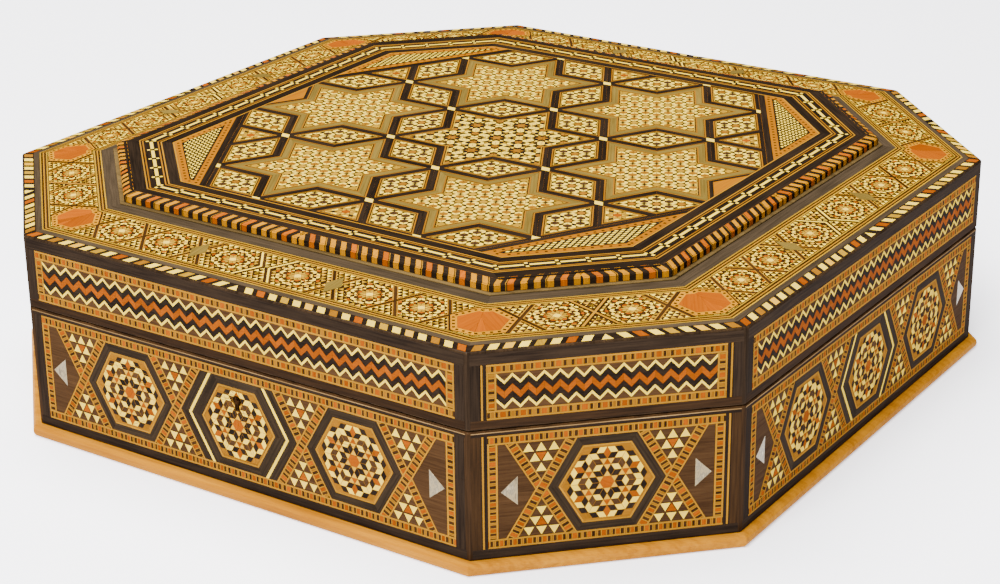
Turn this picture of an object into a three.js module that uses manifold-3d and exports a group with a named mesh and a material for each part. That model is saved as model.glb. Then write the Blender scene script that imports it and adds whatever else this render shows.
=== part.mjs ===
// An octagonal inlaid jewelry box with a hinged lid, in millimetres, +Z up.
// The origin is the centre of the underside. The keyhole face looks along -Y and the hinges are at +Y.
import * as THREE from 'three';
import { mergeVertices } from 'three/addons/utils/BufferGeometryUtils.js';
import Module from 'manifold-3d';

const wasm = await Module();
wasm.setup();

// Plan of the box
const WIDTH = 300;
const LONG_FACE = 179;

// Base board
const BASE_THICK = 4.2;
const BASE_PROJECTION = 3;
const BASE_NOSE = 1.7;
const NOSE_STEPS = 6;

// Case and lid
const CASE_HEIGHT = 43.5;
const LID_HEIGHT = 25.9;
const SEAM_GAP = 0.3;
const WALL = 8;
const VENEER = 1;
const GLUE = 0.1;
const MITRE_GAP = 0.3;
const LID_BOARD = 6;

// Sloping border of the lid, and the raised panel with its moulding
const BORDER_RISE = 3.4;
const PANEL_INSET = 34.3;
const PANEL_RISE = 7.2;
const PLINTH_LEDGE = 1.5;
const PLINTH_HEIGHT = 0.6;
const PLINTH_ROUND = 0.2;
const ROPE_CREASE = 0.4;
const ROPE_TOP_FALL = 0.8;
const STRIP_DEPTH = 3.5;

// Velvet
const LINING = 1.2;
const LINING_DROP = 1;
const PAD_THICK = 5;
const PAD_CLEARANCE = 0.5;
const PAD_CROWN = 1;
const PAD_ROUND = 2;
const CEILING_PAD = 3;

// Hinges
const HINGE_FROM_END = 34.5;
const LEAF_LENGTH = 30;
const LEAF_REACH = 9.2;
const LEAF_THICK = 0.8;
const KNUCKLE_RADIUS = 1.2;
const KNUCKLE_LENGTH = 9.8;
const KNUCKLE_CLEARANCE = 0.15;
const PIN_RADIUS = 0.6;
const PIN_CLEARANCE = 0.1;
const HEEL_DEPTH = 1.4;
const HEEL_CLEARANCE = 0.05;
const OPEN_ANGLE = 98;
const MORTISE_CLEARANCE = 0.15;

// Screws
const SCREW_FROM_END = 5;
const SCREW_INSET = 5.6;
const SCREW_HEAD_RADIUS = 1.4;
const SCREW_SHANK_RADIUS = 0.7;
const SCREW_LENGTH = 5.5;
const SCREW_SLOT = 0.4;
const SCREW_CLEARANCE = 0.1;

// Lock
const KEYHOLE_DROP = 12.4;
const KEYHOLE_RADIUS = 1.6;
const KEYHOLE_SLOT = 1.9;
const KEYHOLE_HEIGHT = 7.2;
const LOCK_WIDTH = 30;
const LOCK_HEIGHT = 24;
const LOCK_DEPTH = 5;
const LOCK_SHEET = 0.8;
const LOCK_FLANGE = 3;
const NAIL_RADIUS = 0.9;
const NAIL_HEAD = 0.5;
const NAIL_LENGTH = 5;
const LOOP_OFFSET = 3;
const LOOP_THICK = 1.5;
const LOOP_WIDTH = 3.4;
const LOOP_DROP = 7;
const EYE_WIDTH = 1.7;
const EYE_HEIGHT = 3.2;
const EYE_DROP = 2.6;
const LOCK_RUNNING = 0.25;
const BOLT_LENGTH = 12;
const BOLT_HEIGHT = 6;
const BOLT_NOTCH = 2.4;
const BOLT_TRAVEL = 4;
const FINGER_LENGTH = 2.5;
const LINK_LENGTH = 26;
const LINK_PLATE = 0.8;
const SPRING_THICK = 0.3;
const SPRING_RISE = 2;

const ROUND_SEGMENTS = 16;

// Heights of the levels, from the underside up
const CASE_BOTTOM = BASE_THICK;
const CASE_TOP = CASE_BOTTOM + CASE_HEIGHT;
const LID_BOTTOM = CASE_TOP + SEAM_GAP;
const LID_TOP = CASE_TOP + LID_HEIGHT;
const LID_BOARD_TOP = LID_TOP - VENEER - GLUE;
const LID_BOARD_BOTTOM = LID_BOARD_TOP - LID_BOARD;
const LID_WALL_TOP = LID_BOARD_BOTTOM - GLUE;
const BORDER_TOP = LID_TOP + BORDER_RISE;
const PANEL_TOP = LID_TOP + PANEL_RISE;

// Insets of the layers, from the outer face inwards
const WALL_OUTER = VENEER + GLUE;
const WALL_INNER = WALL_OUTER + WALL;
const LINING_OUTER = WALL_INNER + GLUE;
const LINING_INNER = LINING_OUTER + LINING;
const PLINTH_INSET = PANEL_INSET - PLINTH_LEDGE;
const STRIP_INNER = PANEL_INSET + STRIP_DEPTH;

// The eight faces, by the angle of their outward normal
const FACE_NAMES = ['right', 'back_right', 'back', 'back_left', 'left', 'front_left', 'front', 'front_right'];
const FACE_TURN = Math.PI / 4;
const CHAMFER_DISTANCE = (WIDTH + LONG_FACE) / 2 / Math.SQRT2;

const MATERIALS = {
  base: new THREE.MeshStandardMaterial({ color: 0xc98a4b, roughness: 0.4 }),
  core: new THREE.MeshStandardMaterial({ color: 0xb08a5c, roughness: 0.7 }),
  inlay: new THREE.MeshStandardMaterial({ color: 0x5b3d28, roughness: 0.3 }),
  border: new THREE.MeshStandardMaterial({ color: 0x8d744f, roughness: 0.3 }),
  walnut: new THREE.MeshStandardMaterial({ color: 0x6e5443, roughness: 0.35 }),
  rope: new THREE.MeshStandardMaterial({ color: 0xb07a2a, roughness: 0.3 }),
  panel: new THREE.MeshStandardMaterial({ color: 0x84683f, roughness: 0.3 }),
  velvet: new THREE.MeshStandardMaterial({ color: 0x6a0f1c, roughness: 0.95 }),
  brass: new THREE.MeshStandardMaterial({ color: 0xb8934a, roughness: 0.35, metalness: 1 }),
  steel: new THREE.MeshStandardMaterial({ color: 0x8c8f94, roughness: 0.4, metalness: 1 }),
};

// Plan geometry of the octagon

function faceDistance(face, inset) {
  const isLong = face % 2 === 0;
  return (isLong ? WIDTH / 2 : CHAMFER_DISTANCE) - inset;
}

function faceNormal(face) {
  const angle = face * FACE_TURN;
  return new THREE.Vector2(Math.cos(angle), Math.sin(angle));
}

// The corner between a face and the next one, at an inset from the outer faces.
function corner(face, inset) {
  const next = (face + 1) % FACE_NAMES.length;
  const a = faceNormal(face);
  const b = faceNormal(next);
  const distanceA = faceDistance(face, inset);
  const distanceB = faceDistance(next, inset);
  const cosine = Math.cos(FACE_TURN);
  const sineSquared = Math.sin(FACE_TURN) ** 2;
  const alongA = (distanceA - distanceB * cosine) / sineSquared;
  const alongB = (distanceB - distanceA * cosine) / sineSquared;
  return new THREE.Vector2(a.x * alongA + b.x * alongB, a.y * alongA + b.y * alongB);
}

function octagon(inset) {
  return FACE_NAMES.map((name, face) => corner(face, inset));
}

// One mitred board of the octagon, seen from above.
function boardOutline(face, outerInset, innerInset) {
  const previous = (face + FACE_NAMES.length - 1) % FACE_NAMES.length;
  const normal = faceNormal(face);
  const tangent = new THREE.Vector2(-normal.y, normal.x);
  const shrink = MITRE_GAP / 2 / Math.cos(FACE_TURN / 2);
  const start = tangent.clone().multiplyScalar(shrink);
  const end = tangent.clone().multiplyScalar(-shrink);
  return [
    corner(previous, outerInset).add(start),
    corner(face, outerInset).add(end),
    corner(face, innerInset).add(end),
    corner(previous, innerInset).add(start),
  ];
}

// Solids

function prism(points, height) {
  return new THREE.ExtrudeGeometry(new THREE.Shape(points), { depth: height, bevelEnabled: false });
}

// A solid with an octagonal plan at each height, from the lowest section to the highest.
function octagonLoft(sections) {
  const rings = sections.map(({ inset, z }) => octagon(inset).map((p) => [p.x, p.y, z]));
  const sides = FACE_NAMES.length;
  const positions = rings.flat(2);
  const indices = [];
  for (let ring = 0; ring + 1 < rings.length; ring += 1) {
    for (let side = 0; side < sides; side += 1) {
      const a = ring * sides + side;
      const b = ring * sides + ((side + 1) % sides);
      indices.push(a, b, b + sides, a, b + sides, a + sides);
    }
  }
  const top = (rings.length - 1) * sides;
  for (let side = 1; side + 1 < sides; side += 1) {
    indices.push(0, side + 1, side);
    indices.push(top, top + side, top + side + 1);
  }
  return indexed(positions, indices);
}

// A ring that follows the octagon, with a closed section of [inset, z] points, anticlockwise
// when it is seen with the inset growing to the left.
function octagonRing(section) {
  const sides = FACE_NAMES.length;
  const positions = section.map(([inset, z]) => octagon(inset).map((p) => [p.x, p.y, z])).flat(2);
  const indices = [];
  for (let row = 0; row < section.length; row += 1) {
    const next = (row + 1) % section.length;
    for (let side = 0; side < sides; side += 1) {
      const other = (side + 1) % sides;
      const a = row * sides + side;
      const b = row * sides + other;
      const c = next * sides + other;
      const d = next * sides + side;
      indices.push(a, b, c, a, c, d);
    }
  }
  return indexed(positions, indices);
}

function indexed(positions, indices) {
  const geometry = new THREE.BufferGeometry();
  geometry.setAttribute('position', new THREE.Float32BufferAttribute(positions, 3));
  geometry.setIndex(indices);
  return geometry;
}

function block([x0, x1], [y0, y1], [z0, z1]) {
  const geometry = new THREE.BoxGeometry(x1 - x0, y1 - y0, z1 - z0);
  return geometry.translate((x0 + x1) / 2, (y0 + y1) / 2, (z0 + z1) / 2);
}

function rodAlongX(radius, [x0, x1], y, z) {
  const geometry = new THREE.CylinderGeometry(radius, radius, x1 - x0, ROUND_SEGMENTS);
  return geometry.rotateZ(Math.PI / 2).translate((x0 + x1) / 2, y, z);
}

function toSolid(geometry) {
  const bare = geometry.clone();
  bare.deleteAttribute('normal');
  bare.deleteAttribute('uv');
  const merged = mergeVertices(bare);
  return new wasm.Manifold(new wasm.Mesh({
    numProp: 3,
    vertProperties: new Float32Array(merged.attributes.position.array),
    triVerts: new Uint32Array(merged.index.array),
  }));
}

function toGeometry(solid) {
  const mesh = solid.getMesh();
  return indexed(Array.from(mesh.vertProperties), Array.from(mesh.triVerts));
}

function join(geometries) {
  return toGeometry(geometries.map(toSolid).reduce((whole, piece) => whole.add(piece)));
}

function cut(geometry, cutters) {
  return toGeometry(cutters.map(toSolid).reduce((rest, cutter) => rest.subtract(cutter), toSolid(geometry)));
}

const box = new THREE.Group();
const caseGroup = new THREE.Group();
const lidGroup = new THREE.Group();
box.add(caseGroup, lidGroup);

function place(group, name, geometry, material, z = 0) {
  geometry.computeVertexNormals();
  const mesh = new THREE.Mesh(geometry, MATERIALS[material]);
  mesh.name = name;
  mesh.position.z = z;
  group.add(mesh);
}

// Base board with a rounded edge

function baseBoard() {
  const sections = [];
  for (let step = 0; step <= NOSE_STEPS; step += 1) {
    const angle = Math.PI * (step / NOSE_STEPS - 0.5);
    sections.push({
      inset: BASE_NOSE - BASE_PROJECTION - BASE_NOSE * Math.cos(angle),
      z: (BASE_THICK / 2) * (1 + Math.sin(angle)),
    });
  }
  return octagonLoft(sections);
}

place(caseGroup, 'base_board', baseBoard(), 'base');

// Hinges

const PIVOT_Y = WIDTH / 2 + KNUCKLE_CLEARANCE + KNUCKLE_RADIUS;
const PIVOT_Z = CASE_TOP + SEAM_GAP / 2;
const LEAF_FRONT = WIDTH / 2 - LEAF_REACH;
const SCREW_Y = WIDTH / 2 - SCREW_INSET;
const HINGES = [
  { side: 'left', x: HINGE_FROM_END - LONG_FACE / 2 },
  { side: 'right', x: LONG_FACE / 2 - HINGE_FROM_END },
];
const SCREWS = [
  { end: 'outer', offset: LEAF_LENGTH / 2 - SCREW_FROM_END },
  { end: 'inner', offset: SCREW_FROM_END - LEAF_LENGTH / 2 },
];

function screwX(hinge, screw) {
  return hinge.x + Math.sign(hinge.x) * screw.offset;
}

// A countersunk screw with its head's face at z = 0 and its shank going down.
function screwProfile(extra) {
  const taper = SCREW_HEAD_RADIUS - SCREW_SHANK_RADIUS;
  return [
    [0, -SCREW_LENGTH - extra],
    [SCREW_SHANK_RADIUS + extra, -SCREW_LENGTH + SCREW_SHANK_RADIUS - extra],
    [SCREW_SHANK_RADIUS + extra, -taper],
    [SCREW_HEAD_RADIUS + extra, 0],
    [0, 0],
  ].map(([radius, z]) => new THREE.Vector2(radius, z));
}

function lathed(profile) {
  return new THREE.LatheGeometry(profile, ROUND_SEGMENTS).rotateX(Math.PI / 2);
}

function screwGeometry(pointsUp) {
  const reach = SCREW_HEAD_RADIUS * 2;
  const slot = block([-reach, reach], [-SCREW_SLOT / 2, SCREW_SLOT / 2], [-SCREW_SLOT, SCREW_SLOT]);
  const screw = cut(lathed(screwProfile(0)), [slot]);
  return pointsUp ? screw.rotateX(Math.PI) : screw;
}

// The hole for a screw, a little larger, and open above the leaf.
function screwHole(pointsUp) {
  const rise = LEAF_THICK;
  const cone = screwProfile(SCREW_CLEARANCE).slice(0, -1);
  const mouth = SCREW_HEAD_RADIUS + SCREW_CLEARANCE;
  const profile = [...cone, new THREE.Vector2(mouth, rise), new THREE.Vector2(0, rise)];
  const hole = lathed(profile);
  return pointsUp ? hole.rotateX(Math.PI) : hole;
}

// The stretches of X that the middle knuckle and the two outer ones take.
function knuckleSpans(hinge, middle) {
  const half = KNUCKLE_LENGTH / 2;
  const inner = half + KNUCKLE_CLEARANCE;
  if (middle) {
    return [[hinge.x - half, hinge.x + half]];
  }
  return [
    [hinge.x - LEAF_LENGTH / 2, hinge.x - inner],
    [hinge.x + inner, hinge.x + LEAF_LENGTH / 2],
  ];
}

function otherKnuckleRoom(hinge, middle) {
  const near = PIVOT_Y - KNUCKLE_RADIUS - KNUCKLE_CLEARANCE;
  const far = PIVOT_Y + KNUCKLE_RADIUS;
  const reach = LEAF_LENGTH;
  const mid = [hinge.x - KNUCKLE_LENGTH / 2, hinge.x + KNUCKLE_LENGTH / 2];
  const zRange = [PIVOT_Z - reach, PIVOT_Z + reach];
  if (middle) {
    return [
      block([mid[0] - reach, mid[0]], [near, far], zRange),
      block([mid[1], mid[1] + reach], [near, far], zRange),
    ];
  }
  return [block([mid[0] - KNUCKLE_CLEARANCE, mid[1] + KNUCKLE_CLEARANCE], [near, far], zRange)];
}

// The heel on the lid's knuckle comes to rest against the back of the case when the lid is open.
function heel(hinge) {
  const [span] = knuckleSpans(hinge, true);
  const touch = -(KNUCKLE_RADIUS + KNUCKLE_CLEARANCE - HEEL_CLEARANCE);
  const open = block(span, [touch, 0], [-HEEL_DEPTH, 0]);
  return open.rotateX(THREE.MathUtils.degToRad(OPEN_ANGLE)).translate(0, PIVOT_Y, PIVOT_Z);
}

function hingeLeaf(hinge, onLid) {
  const z = onLid ? [LID_BOTTOM, LID_BOTTOM + LEAF_THICK] : [CASE_TOP - LEAF_THICK, CASE_TOP];
  const half = LEAF_LENGTH / 2;
  const plate = cut(
    block([hinge.x - half, hinge.x + half], [LEAF_FRONT, PIVOT_Y], z),
    otherKnuckleRoom(hinge, onLid),
  );
  const knuckles = knuckleSpans(hinge, onLid)
    .map((span) => rodAlongX(KNUCKLE_RADIUS, span, PIVOT_Y, PIVOT_Z));
  const whole = join(onLid ? [plate, ...knuckles, heel(hinge)] : [plate, ...knuckles]);
  const reach = [hinge.x - LEAF_LENGTH, hinge.x + LEAF_LENGTH];
  const bore = rodAlongX(PIN_RADIUS + PIN_CLEARANCE, reach, PIVOT_Y, PIVOT_Z);
  const holes = SCREWS.map((screw) => screwHole(onLid)
    .translate(screwX(hinge, screw), SCREW_Y, onLid ? LID_BOTTOM : CASE_TOP));
  return cut(whole, [bore, ...holes]);
}

// The recess for a leaf in the edge of the back boards.
function leafMortise(hinge, onLid) {
  const half = LEAF_LENGTH / 2 + MORTISE_CLEARANCE;
  const depth = LEAF_THICK + MORTISE_CLEARANCE;
  const edge = onLid ? LID_BOTTOM : CASE_TOP;
  const y = [LEAF_FRONT - MORTISE_CLEARANCE, WIDTH];
  return block([hinge.x - half, hinge.x + half], y, [edge - depth, edge + depth]);
}

for (const hinge of HINGES) {
  place(caseGroup, `hinge_case_leaf_${hinge.side}`, hingeLeaf(hinge, false), 'brass');
  place(lidGroup, `hinge_lid_leaf_${hinge.side}`, hingeLeaf(hinge, true), 'brass');
  const span = [hinge.x - LEAF_LENGTH / 2, hinge.x + LEAF_LENGTH / 2];
  place(caseGroup, `hinge_pin_${hinge.side}`, rodAlongX(PIN_RADIUS, span, PIVOT_Y, PIVOT_Z), 'brass');
  for (const screw of SCREWS) {
    const x = screwX(hinge, screw);
    const name = `${hinge.side}_${screw.end}`;
    const caseScrew = screwGeometry(false).translate(x, SCREW_Y, CASE_TOP);
    const lidScrew = screwGeometry(true).translate(x, SCREW_Y, LID_BOTTOM);
    place(caseGroup, `hinge_case_screw_${name}`, caseScrew, 'brass');
    place(lidGroup, `hinge_lid_screw_${name}`, lidScrew, 'brass');
  }
}

// Lock, behind the keyhole in the front face

const LOCK_BACK = -WIDTH / 2 + WALL_INNER;
const LOCK_FRONT = LOCK_BACK - LOCK_DEPTH;
const LOCK_FLOOR = CASE_TOP - LOCK_HEIGHT;
const LOCK_X = [-LOCK_WIDTH / 2, LOCK_WIDTH / 2];
const INNER_PLATE_Y = [LOCK_BACK, LOCK_BACK + LOCK_SHEET];
const LOOP_X = [LOOP_OFFSET, LOOP_OFFSET + LOOP_THICK];
const LOOP_CENTRE_Y = (LOCK_FRONT + LOCK_BACK) / 2;
const LOOP_Y = [LOOP_CENTRE_Y - LOOP_WIDTH / 2, LOOP_CENTRE_Y + LOOP_WIDTH / 2];
const EYE_TOP = CASE_TOP - EYE_DROP;
const NAIL_X = LOCK_WIDTH / 2 + LOCK_FLANGE / 2;

function nail(x, z, extra) {
  const radius = NAIL_RADIUS + extra;
  const length = NAIL_LENGTH + extra;
  const rod = new THREE.CylinderGeometry(radius, radius / 2, length, ROUND_SEGMENTS);
  const middle = LOCK_SHEET + NAIL_HEAD - length / 2;
  return rod.translate(x, INNER_PLATE_Y[0] + middle, z);
}

const NAIL_PLACES = [-1, 1].flatMap((side) => [0.25, 0.8].map((share) => ({
  x: side * NAIL_X,
  z: CASE_TOP - share * LOCK_HEIGHT,
})));

function keyhole() {
  const halfSlot = KEYHOLE_SLOT / 2;
  const start = Math.asin(halfSlot / KEYHOLE_RADIUS);
  const shape = new THREE.Shape();
  shape.moveTo(-halfSlot, KEYHOLE_RADIUS - KEYHOLE_HEIGHT);
  shape.lineTo(halfSlot, KEYHOLE_RADIUS - KEYHOLE_HEIGHT);
  shape.absarc(0, 0, KEYHOLE_RADIUS, start - Math.PI / 2, 1.5 * Math.PI - start, false);
  shape.closePath();
  const depth = WALL;
  const hole = new THREE.ExtrudeGeometry(shape, { depth, bevelEnabled: false, curveSegments: 8 });
  const z = CASE_TOP - KEYHOLE_DROP;
  return hole.rotateX(Math.PI / 2).translate(0, LOCK_FRONT + GLUE, z);
}

// The room that the lock takes in the front board.
function lockMortise() {
  const out = MORTISE_CLEARANCE;
  const deep = [LOCK_FRONT - out, LOCK_BACK + WALL];
  const room = block([LOCK_X[0] - out, LOCK_X[1] + out], deep, [LOCK_FLOOR - out, CASE_TOP + WALL]);
  return [room, ...NAIL_PLACES.map(({ x, z }) => nail(x, z, MORTISE_CLEARANCE))];
}

function lockCase() {
  const wallY = [LOCK_FRONT, LOCK_BACK];
  const plate = block(
    [LOCK_X[0] - LOCK_FLANGE, LOCK_X[1] + LOCK_FLANGE],
    INNER_PLATE_Y,
    [LOCK_FLOOR - LOCK_FLANGE, CASE_TOP],
  );
  const shellY = [LOCK_FRONT, INNER_PLATE_Y[1]];
  const shell = block(LOCK_X, shellY, [LOCK_FLOOR, CASE_TOP]);
  const inside = block(
    [LOCK_X[0] + LOCK_SHEET, LOCK_X[1] - LOCK_SHEET],
    [LOCK_FRONT - LOCK_SHEET, LOCK_BACK],
    [LOCK_FLOOR + LOCK_SHEET, CASE_TOP - LOCK_SHEET],
  );
  const slot = block(
    [LOOP_X[0] - LOCK_RUNNING, LOOP_X[1] + LOCK_RUNNING],
    [LOOP_Y[0] - LOCK_RUNNING, LOOP_Y[1] + LOCK_RUNNING],
    [CASE_TOP - 2 * LOCK_SHEET, CASE_TOP + LOCK_SHEET],
  );
  const rail = block(
    [LOCK_X[0] + LOCK_SHEET / 2, LOOP_OFFSET - LOCK_RUNNING],
    wallY,
    [BOLT_FLOOR - LOCK_RUNNING - LOCK_SHEET, BOLT_FLOOR - LOCK_RUNNING],
  );
  const hollow = cut(shell, [inside, slot]);
  const keyPath = block([-KEYHOLE_SLOT, KEYHOLE_SLOT], wallY, [BOLT_FLOOR - WALL, BOLT_FLOOR]);
  const nails = NAIL_PLACES.map(({ x, z }) => nail(x, z, 0));
  return join([plate, hollow, cut(rail, [keyPath]), ...nails]);
}

const FINGER_Z = [EYE_TOP - EYE_HEIGHT + LOCK_RUNNING, EYE_TOP - LOCK_RUNNING];
const FINGER_HALF = EYE_WIDTH / 2 - LOCK_RUNNING;
const BOLT_CENTRE_Z = (FINGER_Z[0] + FINGER_Z[1]) / 2;
const BOLT_FLOOR = BOLT_CENTRE_Z - BOLT_HEIGHT / 2;

// The sliding bolt, drawn back, with the finger that goes through the loop and a notch for the key.
function lockBolt() {
  const end = LOOP_OFFSET - BOLT_TRAVEL - LOCK_RUNNING;
  const y = [LOCK_FRONT + LOCK_RUNNING, LOCK_BACK - LOCK_RUNNING];
  const body = block([end - BOLT_LENGTH, end], y, [BOLT_FLOOR, BOLT_FLOOR + BOLT_HEIGHT - LOCK_RUNNING]);
  const finger = block(
    [end - LOCK_SHEET, LOOP_OFFSET - LOCK_RUNNING],
    [LOOP_CENTRE_Y - FINGER_HALF, LOOP_CENTRE_Y + FINGER_HALF],
    FINGER_Z,
  );
  const notchEnd = end - FINGER_LENGTH;
  const notch = block(
    [notchEnd - BOLT_NOTCH, notchEnd],
    [LOCK_FRONT, LOCK_BACK],
    [BOLT_FLOOR - WALL, BOLT_FLOOR + BOLT_NOTCH],
  );
  return cut(join([body, finger]), [notch]);
}

// A bowed leaf spring on the floor of the lock, under the rail.
function lockSpring() {
  const x = [LOCK_X[0] + 2 * LOCK_SHEET, LOCK_X[1] - 2 * LOCK_SHEET];
  const middle = (x[0] + x[1]) / 2;
  const shape = new THREE.Shape();
  shape.moveTo(x[0], 0);
  shape.quadraticCurveTo(middle, 2 * SPRING_RISE, x[1], 0);
  shape.lineTo(x[1], SPRING_THICK);
  shape.quadraticCurveTo(middle, 2 * SPRING_RISE + SPRING_THICK, x[0], SPRING_THICK);
  const depth = LOCK_DEPTH - 2 * LOCK_RUNNING;
  const strip = new THREE.ExtrudeGeometry(shape, { depth, bevelEnabled: false, curveSegments: 10 });
  const z = LOCK_FLOOR + LOCK_SHEET + LOCK_RUNNING;
  return strip.rotateX(Math.PI / 2).translate(0, LOCK_BACK - LOCK_RUNNING, z);
}

// The plate in the lid's front edge, with the loop that the bolt catches and its two pins.
const LINK_PIN_X = LINK_LENGTH / 2 - LOCK_FLANGE;

function linkPin(side, extra) {
  const radius = NAIL_RADIUS + extra;
  const length = NAIL_LENGTH + extra;
  const rod = new THREE.CylinderGeometry(radius / 2, radius, length, ROUND_SEGMENTS);
  const z = LID_BOTTOM + LINK_PLATE / 2 + length / 2;
  return rod.rotateX(Math.PI / 2).translate(side * LINK_PIN_X, LOOP_CENTRE_Y, z);
}

function linkPlate() {
  const plateY = [LOCK_FRONT, LOCK_BACK];
  const plate = block([-LINK_LENGTH / 2, LINK_LENGTH / 2], plateY, [LID_BOTTOM, LID_BOTTOM + LINK_PLATE]);
  const loop = block(LOOP_X, LOOP_Y, [CASE_TOP - LOOP_DROP, LID_BOTTOM + LINK_PLATE / 2]);
  const eye = block(
    [LOOP_X[0] - LOOP_THICK, LOOP_X[1] + LOOP_THICK],
    [LOOP_CENTRE_Y - EYE_WIDTH / 2, LOOP_CENTRE_Y + EYE_WIDTH / 2],
    [EYE_TOP - EYE_HEIGHT, EYE_TOP],
  );
  return cut(join([plate, loop, linkPin(-1, 0), linkPin(1, 0)]), [eye]);
}

function linkMortise() {
  const out = MORTISE_CLEARANCE;
  const half = LINK_LENGTH / 2 + out;
  const room = block(
    [-half, half],
    [LOCK_FRONT - out, LOCK_BACK + WALL],
    [LID_BOTTOM - WALL, LID_BOTTOM + LINK_PLATE + out],
  );
  return [room, linkPin(-1, out), linkPin(1, out)];
}

place(caseGroup, 'lock_case', lockCase(), 'brass');
place(caseGroup, 'lock_bolt', lockBolt(), 'brass');
place(caseGroup, 'lock_spring', lockSpring(), 'steel');
place(lidGroup, 'link_plate', linkPlate(), 'brass');

// Boards and veneers of the eight faces

const BACK_HOLES = {
  case: [
    ...HINGES.map((hinge) => leafMortise(hinge, false)),
    ...HINGES.flatMap((hinge) => SCREWS.map((screw) => screwHole(false)
      .translate(screwX(hinge, screw), SCREW_Y, CASE_TOP))),
  ],
  lid: [
    ...HINGES.map((hinge) => leafMortise(hinge, true)),
    ...HINGES.flatMap((hinge) => SCREWS.map((screw) => screwHole(true)
      .translate(screwX(hinge, screw), SCREW_Y, LID_BOTTOM))),
  ],
};
const FRONT_HOLES = {
  case: [...lockMortise(), keyhole()],
  lid: linkMortise(),
};

// A board or veneer that stands between two heights on one face of the octagon.
function standing(face, [outer, inner], [z0, z1], cutters) {
  const board = prism(boardOutline(face, outer, inner), z1 - z0).translate(0, 0, z0);
  return cutters.length > 0 ? cut(board, cutters) : board;
}

function holesFor(name, part) {
  if (name === 'front') {
    return FRONT_HOLES[part];
  }
  return name === 'back' ? BACK_HOLES[part] : [];
}

function veneerHolesFor(name, part) {
  if (name === 'front') {
    return part === 'case' ? [keyhole()] : [];
  }
  return name === 'back' ? HINGES.map((hinge) => leafMortise(hinge, part === 'lid')) : [];
}

const BOARD_DEPTH = [WALL_OUTER, WALL_INNER];
const SHEET_DEPTH = [0, VENEER];
const CASE_SPAN = [CASE_BOTTOM + GLUE, CASE_TOP];
const FACE_PARTS = [
  { part: 'case', group: caseGroup, board: CASE_SPAN, sheet: CASE_SPAN },
  { part: 'lid', group: lidGroup, board: [LID_BOTTOM, LID_WALL_TOP], sheet: [LID_BOTTOM, LID_BOARD_TOP] },
];
for (const { part, group, board, sheet } of FACE_PARTS) {
  FACE_NAMES.forEach((name, face) => {
    const wall = standing(face, BOARD_DEPTH, board, holesFor(name, part));
    const veneer = standing(face, SHEET_DEPTH, sheet, veneerHolesFor(name, part));
    place(group, `${part}_wall_${name}`, wall, 'core');
    place(group, `${part}_veneer_${name}`, veneer, 'inlay');
  });
}

// Velvet pad and linings

function bottomPad() {
  const edge = LINING_INNER + PAD_CLEARANCE;
  const height = PAD_THICK - PAD_CROWN;
  return octagonLoft([
    { inset: edge, z: 0 },
    { inset: edge, z: height - PAD_ROUND / 2 },
    { inset: edge + PAD_ROUND / 2, z: height },
    { inset: edge + PAD_ROUND * 2, z: PAD_THICK },
  ]);
}

function wallLining() {
  const z = [CASE_BOTTOM + GLUE, CASE_TOP - LINING_DROP];
  const ring = octagonRing([
    [LINING_INNER, z[0]],
    [LINING_OUTER, z[0]],
    [LINING_OUTER, z[1]],
    [LINING_INNER, z[1]],
  ]);
  const out = LOCK_FLANGE + GLUE;
  const lockPlate = block(
    [LOCK_X[0] - out, LOCK_X[1] + out],
    [LOCK_BACK - GLUE, LOCK_BACK + WALL],
    [LOCK_FLOOR - out, CASE_TOP + WALL],
  );
  return cut(ring, [lockPlate]);
}

function lidLining() {
  const top = LID_BOARD_BOTTOM - GLUE;
  const ceiling = top - CEILING_PAD;
  const outer = octagonLoft([
    { inset: LINING_OUTER, z: LID_BOTTOM + LINING_DROP },
    { inset: LINING_OUTER, z: top },
  ]);
  const hollow = octagonLoft([
    { inset: LINING_INNER, z: LID_BOTTOM - WALL },
    { inset: LINING_INNER, z: ceiling },
  ]);
  return cut(outer, [hollow]);
}

place(caseGroup, 'bottom_pad', bottomPad(), 'velvet', BASE_THICK + GLUE);
place(caseGroup, 'wall_lining', wallLining(), 'velvet');
place(lidGroup, 'lid_lining', lidLining(), 'velvet');

// Top of the lid: board, sloping border and raised panel

function slab(inset, z0, z1) {
  return octagonLoft([{ inset, z: z0 }, { inset, z: z1 }]);
}

// A wedge all round: thin at the lid's edge and rising to a level seat for the moulding.
function lidBorder() {
  return octagonRing([
    [STRIP_INNER, LID_TOP - VENEER],
    [0, LID_TOP - VENEER],
    [0, LID_TOP],
    [PLINTH_INSET, BORDER_TOP],
    [STRIP_INNER, BORDER_TOP],
  ]);
}

function plinth() {
  const z = [BORDER_TOP + GLUE, BORDER_TOP + PLINTH_HEIGHT];
  return octagonRing([
    [STRIP_INNER, z[0]],
    [PLINTH_INSET, z[0]],
    [PLINTH_INSET, z[1] - PLINTH_ROUND],
    [PLINTH_INSET + PLINTH_ROUND, z[1]],
    [STRIP_INNER, z[1]],
  ]);
}

// The striped moulding: an upright face, a small crease and a top that still rises to the panel.
function ropeMoulding() {
  const foot = BORDER_TOP + PLINTH_HEIGHT + GLUE;
  const crease = PANEL_TOP - ROPE_TOP_FALL;
  return octagonRing([
    [STRIP_INNER, foot],
    [PANEL_INSET, foot],
    [PANEL_INSET, crease - ROPE_CREASE],
    [PANEL_INSET + ROPE_CREASE, crease],
    [STRIP_INNER, PANEL_TOP],
  ]);
}

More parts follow.
